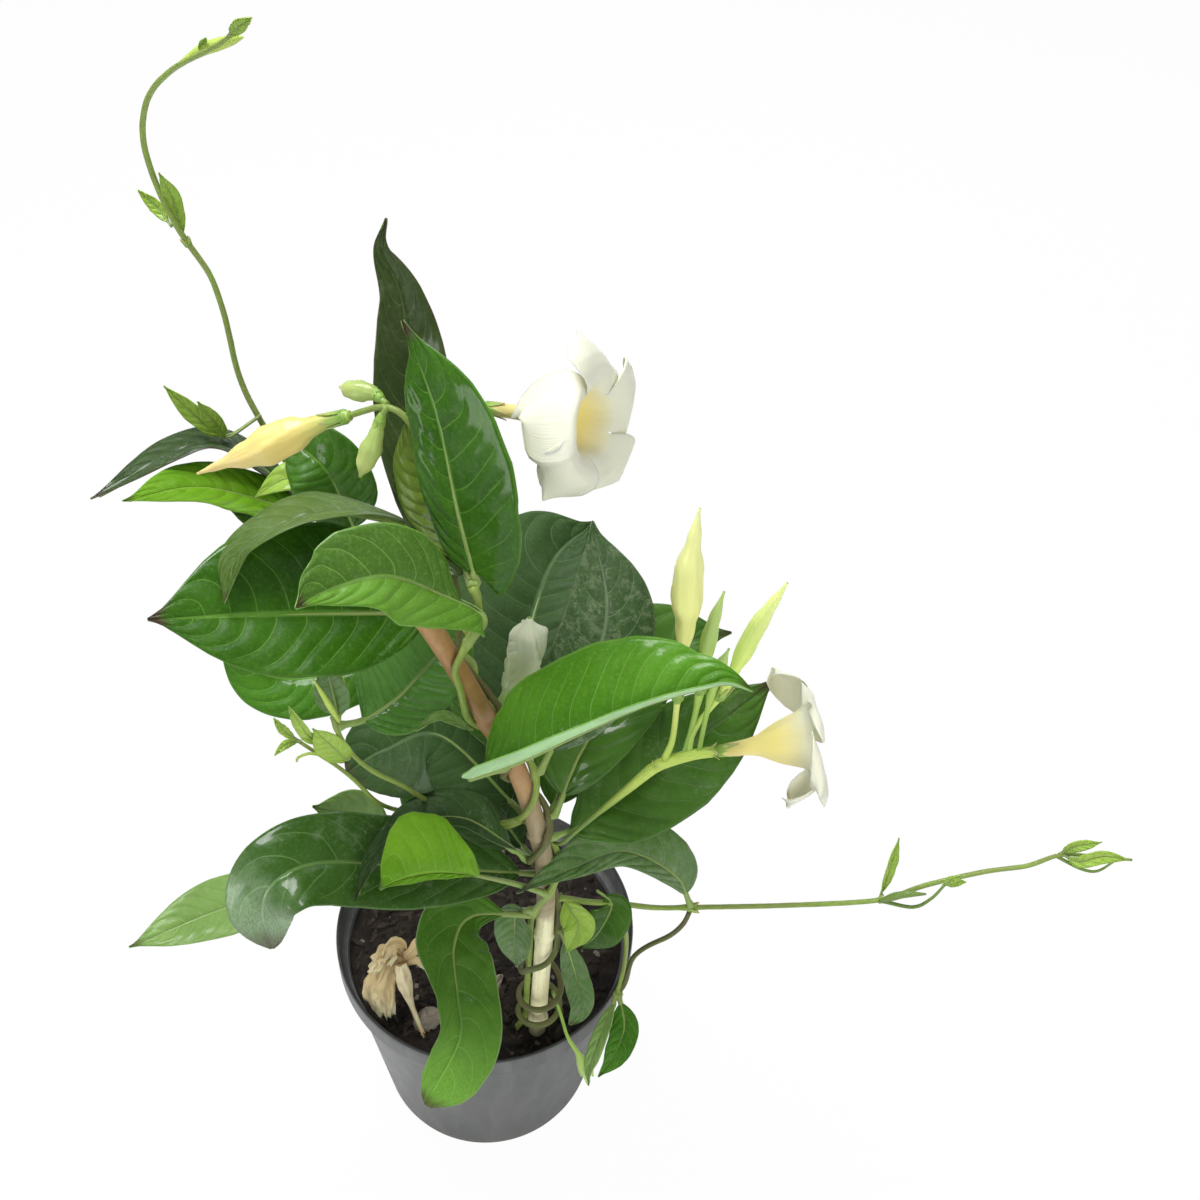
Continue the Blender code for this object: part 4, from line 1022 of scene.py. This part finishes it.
corolla("flower_top", (4.4, 7.3, 390.2), (0.87, -0.43, 0.25), -0.2,
        [dict(wide=0.9), dict(curl=3, wide=0.9), dict(curl=12, roll=2.5, rollSide=-1, wide=1.1, long=0.68),
         dict(curl=7, wide=0.9), dict(wide=0.9)], 8.0)
corolla("flower_right", (84, -33, 286), (0.97, 0.12, 0.17), 0.3,
        [dict(curl=5), dict(curl=-3), dict(curl=-2), dict(curl=6), dict(curl=-4)])


def bud(name, points, radii, skin, twist=0.6, petals=5, depth=0.08, owner=None, sepals=None):
    # petals furled round each other: ridges that wind up the bud where it is thick; sepals: where along the
    # bud they start, its radius there, their length and their width
    line = spline(points, 1.2)
    widest = max(radii)

    def radiusOf(share, angle):
        radius = between(radii, share, easing=True)
        bulk = smooth(0.25 * widest, 0.8 * widest, radius)
        fold = (petals * angle / (2 * math.pi) + twist * share * petals / 2) % 1
        return radius * (1 + depth * bulk * (fold ** 1.5 - 0.5) + 0.04 * wobble(share * 9, angle, 0))

    shape = Builder()
    shape.tube(line, radiusOf, 40, 1.0)
    shape.build("furled_" + name, owner or name, [skin])
    if sepals:
        share, radius, long, wide = sepals
        foot = atShare(line, share)
        ahead = atShare(line, share + 0.06) - foot
        addSepals(name, foot, ahead.to_track_quat("Z", "Y"), radius, long, wide, 0.06)


bud("bud_furled", ((-35, -4, 393), (-46, -2, 387), (-60, -4, 380), (-81, -11, 373)),
    (1.6, 1.8, 3, 5.4, 5.8, 4, 1.5, 0.4), peachBud, depth=0.12, sepals=(0.03, 1.9, 9.5, 2.4))
bud("bud_small_left", ((-23, -7, 400), (-28, -2, 400), (-33, 0, 399), (-39, 4, 397)),
    (0.9, 1, 2.4, 3.2, 2.6, 0.4), mossBud, sepals=(0.22, 1.4, 4, 1.8))
bud("bud_hanging_left", ((-23, -8, 400), (-25, -9, 396), (-27, -12, 390), (-31, -16, 380)),
    (0.9, 1, 2.2, 3.3, 2.8, 0.4), mossBud, sepals=(0.2, 1.4, 4, 1.8))
bud("bud_tall", ((66, -33, 280), (68, -31, 288), (68, -30, 305), (68, -26, 323), (68, -24, 338),
                 (67, -23, 358), (68, -20, 380)),
    (1.2, 1, 1, 1.8, 1.8, 3.2, 5.0, 4.4, 2.2, 0.4), creamBud, twist=0.7, depth=0.1, sepals=(0.27, 1.8, 6, 2.2))
bud("bud_inner", ((72, -33, 281), (74, -29, 291), (75, -28, 310), (75.6, -25, 326), (76.4, -25, 339),
                  (78.4, -23, 350)), (1, 1, 1, 1.6, 1.8, 2.7, 1.9, 0.4), greenBud,
    sepals=(0.42, 1.8, 5, 2.0))
bud("bud_inner_b", ((77, -33, 283.5), (78, -29, 296), (79, -27, 310), (80.5, -25.5, 318.5), (82.4, -25, 327)),
    (0.9, 0.8, 0.9, 1.6, 2.3, 0.4), greenBud, owner="bud_inner")
bud("bud_right", ((74, -33, 282), (75, -29, 291), (83, -26, 309), (85.6, -25, 319), (90.4, -22.4, 335),
                  (97, -21.6, 354)), (1, 1, 1, 1.7, 1.8, 3, 2.9, 1.8, 0.4), limeBud,
    sepals=(0.33, 1.8, 6, 2.2))
bud("bud_half_open", ((8, -31, 296), (13, -25, 299), (18, -20, 313), (19, -17, 327)),
    (1, 2, 4, 5.6, 6.4, 5.8, 0.8), paleBud, twist=0.5, petals=4, depth=0.42)
bud("bud_drooping", ((32, -39.5, 131), (36, -45, 121.5), (39.4, -52, 117), (45, -57, 110), (49, -62, 98)),
    (0.7, 0.7, 0.7, 0.9, 2.4, 0.8), greenBud)
# small buds that leave the drooping stem where it forks
for letter, tip, wide in (("a", (51, -60, 100), 1.7), ("b", (46, -60, 99), 1.6),
                          ("c", (44.5, -58, 103), 1.3)):
    halfway = tuple((start + end) / 2 for start, end in zip((45, -54, 110), tip))
    bud("bud_drooping_" + letter, ((45, -54, 109), halfway, tip), (0.5, 0.6, wide, wide * 0.8, 0.3), greenBud,
        owner="bud_drooping")


def lobe(shape, points, face, width, form, seed, crease):
    # a crumpled papery lobe along a line
    frames = bladeFrames(Vector(points[0]), points[1:], face)
    rows, columns = 26, 16
    grid = []
    for r in range(rows + 1):
        v = r / rows
        centre, tangent, up, side = frameAt(frames, v)
        reachHere = width / 2 * linear(form, v) * (1 + 0.22 * wobble(v * 6, 1, 0, seed))
        line = []
        for c in range(columns + 1):
            a = 2 * c / columns - 1
            rise = crease * (wobble(v * 6, a * 3, 2, seed) + 0.9 * abs(wobble(v * 9, a * 7, 5, seed))
                             + 0.25 * wobble(v * 14, a * 9, 8, seed)) * (0.4 + v)
            rise -= 0.35 * reachHere * a * a
            curled = 0.25 * reachHere * max(0, abs(a) - 0.7) * 3 * wobble(v * 4, a, 9, seed)
            line.append(centre + side * a * reachHere + up * (rise + curled)
                        + tangent * 0.9 * wobble(a * 2.2, v * 3, 4, seed))
        grid.append(line)
    shape.grid(grid)


def driedFlower():
    # last week's flower: the tube still stands, its papery lobes hang crumpled over one another
    line = spline(((-20.5, -48.5, 99), (-26.4, -40, 107), (-30.4, -34, 118), (-32.5, -29.5, 128)), 1.2)
    foot = Builder()
    foot.tube(line, lambda share, angle: (1.0 + 2.0 * smooth(0.35, 0.8, share) - 0.6 * smooth(0.85, 1, share))
              * (1 + 0.16 * math.sin(5 * angle + 6 * share) + 0.12 * wobble(share * 8, angle, 0)), 24)
    foot.build("driedFoot", "dried_flower", [driedSkin])
    bag = ((0, 0.35), (0.2, 0.8), (0.5, 1.0), (0.8, 0.9), (1, 0.55))
    strip = ((0, 0.6), (0.4, 0.9), (0.8, 1.0), (1, 0.5))
    shape = Builder()
    for points, face, width, form, seed, crease in (
            (((-32, -29, 127), (-36, -30, 129), (-41, -34, 124), (-43, -38, 116), (-39, -43, 108)),
             (-0.3, -0.9, 0.3), 11, bag, 1.3, 2.0),
            (((-32, -29, 126), (-35, -32, 127), (-38, -38, 120), (-37, -42, 112), (-36, -43, 108)),
             (0.2, -0.95, 0.2), 9, bag, 4.1, 2.0),
            (((-32, -28, 127), (-36, -26, 131), (-41, -28, 130), (-44, -32, 124)),
             (-0.5, -0.3, 0.8), 8, bag, 7.7, 2.4),
            (((-32, -28, 127), (-33, -25, 133), (-36, -27, 134), (-38, -31, 129)),
             (-0.2, -0.6, 0.7), 7, bag, 2.2, 2.4),
            (((-32, -28.5, 127), (-28, -27, 131), (-24, -24, 135), (-20, -21, 139)),
             (0.3, -0.8, 0.5), 6.5, strip, 5.2, 0.8),
            (((-31, -29, 126), (-26, -28.5, 129), (-23, -29.5, 128), (-20, -30.5, 126.5)),
             (0.2, -0.7, 0.7), 3.6, strip, 3.4, 0.6)):
        lobe(shape, points, face, width, form, seed, crease)
    shape.build("driedFlower", "dried_flower", [driedSkin], 0.25)


driedFlower()
print("flowers and buds ready")


# ---- young leaves and other small growth -------------------------------------------------------------

def sprig(name, stem, points, width, face=(0, -0.8, 0.5), tone="young", fold=(20, 20), count=6,
          stalkShare=0.12):
    # a small leaf that belongs to the stem it grows from; points run from its foot to its tip
    frames = bladeFrames(Vector(points[0]), points[1:], face)
    shape = Builder()
    seed = width + points[0][2] * 0.01
    addBlade(shape, frames, width, fold, stalkShare, seed, count, rolled=0.1, wave=0.03, pucker=0.1, rows=34,
             columns=12)
    shape.build("young_" + name, stem, leafSkin(tone, 0.05, 0.0, float(count)), 0.3, 1, 2)
    addRib("youngRib_" + name, stem, frames, (), 20, 0.92,
           lambda share: 0.05 + 0.3 * smooth(0, 0.184, share), lambda share, angle: 0.6 - 0.38 * share, 6)


def shoot(name, stem, points, radii):
    # a thin side branch or a furled sheath
    shape = Builder()
    shape.tube(spline(points, 1.5),
               lambda share, angle: between(radii, share) * (1 + 0.06 * math.sin(3 * angle)), 10)
    shape.build("shoot_" + name, stem, [freshStem])


def bracts(name, stem, centre, axis, long, count=4):
    # small ragged scales round a node
    turn = Vector(axis).to_track_quat("Z", "Y")
    shape = Builder()
    for k in range(count):
        angle = 2 * math.pi * (k + 0.3 * wobble(k, 1, 2, long)) / count
        grid = []
        for r in range(7):
            s = r / 6
            half = 0.42 * long * (1 - s) ** 0.7 * (0.5 + s)
            out = 1.1 + 0.45 * long * s * s * (0.6 + 0.4 * (k % 2))
            grid.append([Vector(centre) + turn @ polar(angle, out, long * (s - 0.2), a * half)
                         for a in (-1, -0.5, 0, 0.5, 1)])
        shape.grid(grid)
    shape.build("bracts_" + name, stem, [sepalSkin], 0.22)


# along the left runner: a leaflet pair, scales at the node, and the furled tip with its fork
sprig("left_long", "runner_left", ((-103, 75, 398), (-105, 78, 407), (-106, 79, 413), (-107, 75, 423)), 6,
      (0.3, -0.8, 0.4))
sprig("left_short", "runner_left", ((-107.5, 78, 402.5), (-113, 83, 406), (-119, 85, 411)), 4.6)
bracts("left_node", "runner_left", (-102, 75, 398), (-0.5, 0.2, 1), 3)
shoot("left_sheath", "runner_left", ((-91, 68, 462), (-83, 65.5, 467.5), (-74, 62, 472), (-69, 58, 475)),
      (0.8, 1.5, 1.9, 1.5, 0.4))
sprig("left_fork", "runner_left", ((-73, 58, 475), (-69, 55, 479), (-64, 52, 483)), 4, (0.4, -0.7, 0.4))
sprig("left_spur", "runner_left", ((-84, 65, 466), (-83, 64.5, 469), (-81, 63, 472)), 2.4, (0.4, -0.7, 0.4))
sprig("left_pair_a", "runner_left", ((-81, 56, 344), (-91, 46, 342), (-98, 44.5, 349), (-108, 44, 363)), 6.5,
      (0.3, -0.8, 0.5), stalkShare=0.4)
sprig("left_pair_b", "runner_left", ((-81, 56, 344), (-90, 45, 342), (-92, 44.5, 346), (-97, 42, 359)), 6,
      (0.3, -0.8, 0.5), stalkShare=0.48)
# along the right runner: a node with an upright leaf, a sheath and a curved shoot, then the leafy end
sprig("right_upright", "runner_right", ((157, -23, 188), (159, -18, 195), (160, -15, 203), (161, -11, 213)),
      5, (0.4, -0.8, 0.5))
shoot("right_sheath", "runner_right", ((157, -23.5, 188.5), (164, -25, 196), (172.5, -26, 199)),
      (0.8, 1.6, 1.3, 0.4))
shoot("right_curved", "runner_right", ((158, -24, 189), (169, -27, 191), (175, -26, 196), (179, -24, 203)),
      (0.8, 0.7, 0.5))
sprig("right_tip_a", "runner_right", ((178.5, -24, 202), (182, -24.5, 206), (186, -25, 207)), 4)
sprig("right_tip_b", "runner_right", ((178.5, -24, 202), (180, -24.5, 207), (183, -25, 211)), 4)
bracts("right_node", "runner_right", (157, -23, 188), (0.8, 0.1, 0.5), 3)
sprig("right_end_a", "runner_right", ((219, -18, 219), (223, -19, 226), (231, -20, 231)), 5)
sprig("right_end_b", "runner_right", ((220, -18, 219.5), (224, -23, 222), (232, -23.5, 227), (241, -25, 228)),
      6)
shoot("right_end", "runner_right", ((218, -18, 218), (227, -22, 216.5), (233, -23, 217), (238, -22, 223)),
      (0.7, 0.6, 0.4))
# the short side shoots on the left of the vine
shoot("side_sheath", "side_shoot_left", ((-38, -48, 307), (-41, -49, 319), (-43.5, -50, 329)),
      (0.6, 1.15, 0.8, 0.2))
sprig("side_up", "side_shoot_left", ((-38, -48, 306), (-37, -46, 317), (-37, -45.5, 329)), 5)
sprig("side_grey", "side_shoot_left", ((-38, -48, 307), (-39, -47, 319), (-40, -47, 333)), 12,
      (0.1, -0.7, 0.6), "dusty", fold=(30, 30))
sprig("side_small", "side_shoot_left", ((-38, -49, 299), (-47, -49, 299), (-50, -50, 307), (-52, -51, 316)),
      5, (-0.2, -0.7, 0.6))
sprig("side_yellow", "side_shoot_left", ((-36, -48, 290), (-37, -49, 289), (-41, -50, 297), (-46, -50, 305)),
      11, (-0.2, -0.7, 0.7), count=7)
sprig("low_tip_a", "side_shoot_low", ((-53, -45, 292), (-56, -46, 297), (-58, -49, 307.5)), 3.4,
      (0, -0.7, 0.7))
sprig("low_tip_b", "side_shoot_low", ((-52, -45, 292), (-56, -47, 293), (-59, -52, 293)), 3, (0, -0.7, 0.7))
shoot("low_curl", "side_shoot_low", ((-45, -46.5, 287), (-49, -49, 291), (-52, -51, 291), (-53, -50, 288)),
      (0.5, 0.5, 0.4))
sprig("sliver", "vine_b", ((3, -42, 300), (2, -44, 303), (-6, -48, 313), (-13, -53, 311)), 3.6,
      (0.1, -0.6, 0.8), "lit")
# beside the cane: small leaves that hang from the vine, and scales at its joints
sprig("patch", "leaf_drooping_yellow", ((33, -34, 196), (38, -40, 192), (41, -43, 187), (37, -47.5, 176)), 13,
      (0.2, -0.9, 0.3))
sprig("round", "vine_a", ((47, -32, 196), (53, -34, 190), (49, -40, 180), (43, -42, 170)), 19,
      (0.2, -0.9, 0.4), "mid")
sprig("back_bright", "runner_left", ((-60, 41, 315), (-57, 34, 335), (-67, 29, 339), (-78, 25, 333)), 14,
      (0, -0.3, 0.9))
bracts("corner", "runner_right", (84, -26.2, 179), (1, 0, 0.1), 4.5)
bracts("hanging", "hanging_shoot", (59.5, -33.5, 125), (0, -0.4, -1), 3.4)
bracts("raceme", "raceme_right", (80, -33, 285), (1, 0, 0.3), 4.5, 5)
bracts("raceme_fork", "raceme_right", (63, -33, 275.5), (0.4, 0, 0.8), 3)
bracts("vine_top", "vine_b", (3, -40, 341), (-0.2, 0.3, 1), 4)
print("young growth ready")


# ---- pot ---------------------------------------------------------------------------------------------

# radius and height along the wall, from the middle of the foot up the outside and down the inside again
potForm = dict(
    outside=((0, 0.0), (47.0, 0.0), (48.6, 0.4), (49.6, 1.4), (50.1, 3.0), (61.6, 99.5), (62.0, 101.6),
             (62.6, 102.2), (64.4, 102.5), (64.9, 103.1), (65.0, 104.2), (65.05, 111.5), (65.0, 113.8),
             (64.7, 114.7), (64.2, 115.0)),
    inside=((63.8, 114.8), (63.5, 114.2), (63.35, 112.5), (63.2, 105.0), (62.6, 103.6), (60.9, 102.6),
            (60.4, 101.0), (48.7, 4.4), (47.6, 2.2), (46.0, 1.5), (0, 1.4)),
    steps=144, drains=8, drainRadius=4, drainCircle=40, drainDepth=12, crease=38)


def potSkin():
    mat, t, shader = newMaterial("blackPlastic")
    place = t.place()
    worn = t.group(wear, place=place, scale=28.0)
    x, y, z = t.parts(place)
    streaks = t.noise(t.stretched(place, (150.0, 150.0, 26.0)), 1.0, 4.0, 0.6, 0.6)
    scuffs = t.ramp(t.noise(t.stretched(place, (420.0, 420.0, 60.0)), 1.0, 5.0, 0.7), 0.62, 0.72)
    silt = t.times(t.ramp(worn["grain"], 0.5, 0.7), t.ramp(worn["blotch"], 0.3, 0.9))
    # painted light: the wall's streaked grey stands for the light and sheen that the black plastic shows
    colour = t.mix(t.ramp(streaks, 0.35, 0.7), (0.085, 0.087, 0.086), (0.125, 0.127, 0.125))
    colour = t.tint(colour, worn["blotch"], 0.5, (0.16, 0.162, 0.16))
    colour = t.tint(colour, scuffs, 0.4, (0.17, 0.17, 0.165))
    # the wall's grey is painted light and sheen on black plastic; the rim's top and the inside keep the
    # plastic's near black
    out = t.math("SQRT", t.math("ADD", t.math("POWER", x, 2.0), t.math("POWER", y, 2.0)))
    slope = t.math("SUBTRACT", out, t.scaled(z, 0.1165, 0.0489))
    inner = t.math("MAXIMUM", t.ramp(slope, -0.0002, -0.0008), t.ramp(z, 0.1138, 0.1146))
    colour = t.tint(colour, inner, 0.88, (0.022, 0.023, 0.023))
    soiled = t.math("ADD", t.times(silt, 0.25), t.times(t.ramp(z, 0.016, 0.0), 0.4))
    colour = t.mix(soiled, colour, (0.19, 0.165, 0.13))
    t.surface(shader, colour=colour, rough=t.scaled(worn["blotch"], 0.12, 0.38), shine=0.5,
              normal=t.bump(t.scaled(worn["grain"], 0.4, streaks), 0.0002, 0.7))
    return mat


def cutDrains(pot):
    cutter = bmesh.new()
    for angle in around(potForm["drains"]):
        made = bmesh.ops.create_cone(cutter, cap_ends=True, segments=28, radius1=potForm["drainRadius"] * mm,
                                     radius2=potForm["drainRadius"] * mm, depth=potForm["drainDepth"] * mm)
        bmesh.ops.translate(cutter, verts=made["verts"], vec=polar(angle, potForm["drainCircle"], 0) * mm)
    mesh = bpy.data.meshes.new("drainCutters")
    cutter.to_mesh(mesh)
    cutter.free()
    tool = bpy.data.objects.new("drainCutters", mesh)
    bpy.context.scene.collection.objects.link(tool)
    holes = pot.modifiers.new("drains", "BOOLEAN")
    holes.operation, holes.object, holes.solver = "DIFFERENCE", tool, "EXACT"
    pot.data = bpy.data.meshes.new_from_object(pot.evaluated_get(bpy.context.evaluated_depsgraph_get()))
    pot.modifiers.clear()
    bpy.data.objects.remove(tool, do_unlink=True)


def creaseEdges(mesh):
    # smooth shading, but with the pot's corners sharp
    for polygon in mesh.polygons:
        polygon.use_smooth = True
    edges = bmesh.new()
    edges.from_mesh(mesh)
    for edge in edges.edges:
        if len(edge.link_faces) == 2 and edge.calc_face_angle(0) > math.radians(potForm["crease"]):
            edge.smooth = False
    edges.to_mesh(mesh)
    edges.free()


def makePot():
    shape = Builder()
    shape.closedShell([[polar(angle, max(radius, 0.01), height) for angle in around(potForm["steps"])]
                       for radius, height in potForm["outside"] + potForm["inside"]])
    pot = shape.build("nurseryPot", "pot", [potSkin()])
    cutDrains(pot)
    creaseEdges(pot.data)


makePot()
print("pot ready")


# ---- growing mix -------------------------------------------------------------------------------------

mixForm = dict(top=100, mound=2.5, rings=80, sectors=200, wall=60.1, floor=2.2, lowRadius=45,
               crumbs=1500, fibres=60)


def mixSkin(name, low, high, fleck, rough=0.9):
    mat, t, shader = newMaterial(name)
    place = t.place()
    worn = t.group(wear, place=place, scale=140.0)
    fine = t.noise(place, 1500.0, 4.0, 0.7)
    colour = t.mix(t.ramp(fine, 0.58, 0.72), t.mix(worn["blotch"], low, high), fleck)
    t.surface(shader, colour=colour, rough=t.scaled(worn["grain"], 0.2, rough - 0.1),
              normal=t.bump(t.math("ADD", fine, worn["grain"]), 0.0009, 1.0))
    return mat


peat = mixSkin("darkPeat", (0.010, 0.007, 0.005), (0.032, 0.022, 0.015), (0.075, 0.055, 0.038))
bark = mixSkin("barkBits", (0.030, 0.020, 0.014), (0.062, 0.044, 0.030), (0.10, 0.075, 0.052), 0.85)
paleBits = mixSkin("paleBits", (0.14, 0.12, 0.09), (0.26, 0.23, 0.18), (0.36, 0.33, 0.27), 0.85)


def mixHeight(x, y):
    out = math.hypot(x, y) / mixForm["wall"]
    lumps = wobble(x * 0.05, y * 0.05, 3)
    height = mixForm["top"] + mixForm["mound"] * (1 - out * out) + 1.6 * lumps * (1 - out)
    height += 0.9 * wobble(x * 0.22, y * 0.22, 1) + 0.6 * abs(wobble(x * 0.6, y * 0.6, 2))
    return height + 0.35 * wobble(x * 1.6, y * 1.6, 5)


def onMix(x, y, above=0.0):
    return Vector((x, y, mixHeight(x, y) + above))


def makeMix():
    rows = []
    for r in range(mixForm["rings"] + 1):
        radius = max(0.02, mixForm["wall"] * r / mixForm["rings"])
        rows.append([onMix(radius * math.cos(angle), radius * math.sin(angle))
                     for angle in around(mixForm["sectors"])])
    edge = rows[-1]
    rows.append([Vector((p.x * 0.985, p.y * 0.985, p.z - 6)) for p in edge])
    low = mixForm["lowRadius"] / mixForm["wall"]
    for share, height in ((low, 6), (low * 0.97, mixForm["floor"]), (0.001, mixForm["floor"])):
        rows.append([Vector((p.x * share, p.y * share, height)) for p in edge])
    shape = Builder()
    shape.closedShell(rows)
    shape.build("peatMix", "growing_mix", [peat])


def scattered(local, share):
    # a place on the mix, anywhere within this share of its radius
    radius = mixForm["wall"] * share * math.sqrt(local.random())
    angle = local.uniform(0, 2 * math.pi)
    return radius * math.cos(angle), radius * math.sin(angle)


def makeCrumbs(local):
    # crumbs, bark and a few pale bits bedded in the surface
    crumbs = Builder()
    for i in range(mixForm["crumbs"]):
        x, y = scattered(local, 0.965)
        size = local.choice((0.5, 0.6, 0.8, 1.0, 1.4)) * local.uniform(0.7, 1.2)
        kind = 2 if local.random() < 0.035 else 1 if local.random() < 0.3 else 0
        long = local.uniform(1.0, 1.7) * (1.9 if kind == 1 else 1)
        spin = Quaternion([local.uniform(-1, 1) for _ in range(3)], local.uniform(0, 6))
        lie = Quaternion((0, 0, 1), local.uniform(0, 6))
        centre = onMix(x, y, size * 0.25)
        ball = []
        for r in range(5):
            tall = math.pi * (0.04 + 0.92 * r / 4)
            ring = []
            for angle in around(7):
                p = spin @ polar(angle, math.sin(tall), math.cos(tall))
                p *= size * (1 + 0.45 * wobble(p.x * 2, p.y * 2, p.z * 2, i))
                ring.append(centre + lie @ Vector((p.x * long, p.y, p.z * 0.7)))
            ball.append(ring)
        crumbs.closedShell(ball, slotIndex=kind)
    crumbs.build("mixCrumbs", "growing_mix", [peat, bark, paleBits], smoothed=False)


def makeFibres(local):
    # fine rootlets
    fibres = Builder()
    for i in range(mixForm["fibres"]):
        x, y = scattered(local, 0.9)
        way = local.uniform(0, 6.28)
        line = []
        for k in range(5):
            way += local.uniform(-0.6, 0.6)
            x, y = x + 1.4 * math.cos(way), y + 1.4 * math.sin(way)
            if math.hypot(x, y) > mixForm["wall"] * 0.96:
                break
            line.append(onMix(x, y, local.uniform(0.2, 0.9)))
        if len(line) > 2:
            fibres.tube(line, lambda share, angle: 0.16, 5)
    fibres.build("mixFibres", "growing_mix", [bark])


def makeLitter():
    # two dry fallen leaf scraps on the mix
    scrap = ((0, 0.3), (0.3, 0.9), (0.6, 1.0), (0.85, 0.6), (1, 0.1))
    shape = Builder()
    lobe(shape, ((-26, -44, 102.5), (-20, -41, 104.2), (-15, -37, 104.6)), (0.1, -0.2, 1), 11, scrap, 6.1,
         0.7)
    lobe(shape, ((2, -34, 104), (5, -26, 105), (9, -19, 105.2)), (0.2, -0.1, 1), 8, scrap, 8.4, 0.7)
    shape.build("leafLitter", "growing_mix", [litterSkin], 0.25)


makeMix()
mixDraws = random.Random(21)
makeCrumbs(mixDraws)
makeFibres(mixDraws)
makeLitter()
print("growing mix ready")


# ---- studio ------------------------------------------------------------------------------------------

# where each lamp stands and points, its width, its power and whether it shows in glossy surfaces
lamps = {
    "keyLight": ((-0.36, 0.26, 1.3), (0, 0, 0.25), 0.5, 14, True),
    "sideLight": ((-1.1, -1.15, 0.5), (0, 0, 0.25), 0.5, 5, True),
    "fillLight": ((0.7, -1.1, 0.8), (0, 0, 0.2), 1.2, 11, False),
    "backLight": ((0.3, 1.1, 0.8), (0, 0, 0.28), 0.8, 3, True),
}
view = dict(lens=39.96, sensor=36, place=(0.041, -0.312, 0.632), tilt=45, roll=3.7)


def makeFloor():
    # white to the camera, a matt pale grey to the light that falls on it
    bpy.ops.mesh.primitive_plane_add(size=6, location=(0, 0, -0.0005))
    floor = bpy.context.object
    floor.name = "studioFloor"
    mat, t, shader = newMaterial("studioFloor")
    t.surface(shader, colour=(0.80, 0.80, 0.80), rough=0.9, shine=0.1)
    glow = t.add("ShaderNodeEmission", {"Strength": 1.0})
    seen = t.times(t.add("ShaderNodeLightPath").outputs["Is Camera Ray"], 0.97)
    mixer = t.add("ShaderNodeMixShader", {0: seen, 1: shader.outputs[0], 2: glow.outputs[0]})
    t.feed(mat.node_tree.nodes["Material Output"].inputs["Surface"], mixer.outputs[0])
    floor.data.materials.append(mat)


def makeWorld():
    # white to the camera; a soft sky, dimmer in glossy surfaces, to everything else
    world = bpy.data.worlds.new("studio")
    world.use_nodes = True
    bpy.context.scene.world = world
    t = Tree(world.node_tree)
    background = world.node_tree.nodes["Background"]
    height = t.parts(t.add("ShaderNodeTexCoord").outputs["Generated"])[2]
    sky = t.mix(t.ramp(height, -0.2, 0.9), (0.55, 0.56, 0.56), (0.95, 0.97, 1.0))
    rays = t.add("ShaderNodeLightPath").outputs
    quiet = t.scaled(rays["Is Glossy Ray"], -0.24, 0.42)
    full = t.math("SUBTRACT", 1.0, quiet)
    t.feed(background.inputs["Color"], t.mix(rays["Is Camera Ray"], sky, (1.0, 1.0, 1.0)))
    t.feed(background.inputs["Strength"], t.scaled(rays["Is Camera Ray"], full, quiet))


def makeLamps():
    for name, (place, aim, size, power, shines) in lamps.items():
        light = bpy.data.lights.new(name, "AREA")
        light.size, light.energy = size, power
        lamp = bpy.data.objects.new(name, light)
        lamp.location = place
        lamp.rotation_euler = (Vector(aim) - Vector(place)).to_track_quat("-Z", "Y").to_euler()
        lamp.visible_glossy = shines
        bpy.context.scene.collection.objects.link(lamp)


def makeCamera():
    camera = bpy.data.objects.new("camera", bpy.data.cameras.new("camera"))
    camera.data.lens, camera.data.sensor_width = view["lens"], view["sensor"]
    camera.matrix_world = (Matrix.Translation(view["place"])
                           @ Matrix.Rotation(math.radians(view["tilt"]), 4, "X")
                           @ Matrix.Rotation(math.radians(view["roll"]), 4, "Z"))
    bpy.context.scene.collection.objects.link(camera)
    bpy.context.scene.camera = camera


makeFloor()
makeWorld()
makeLamps()
makeCamera()
bpy.context.scene.view_settings.view_transform = "Standard"
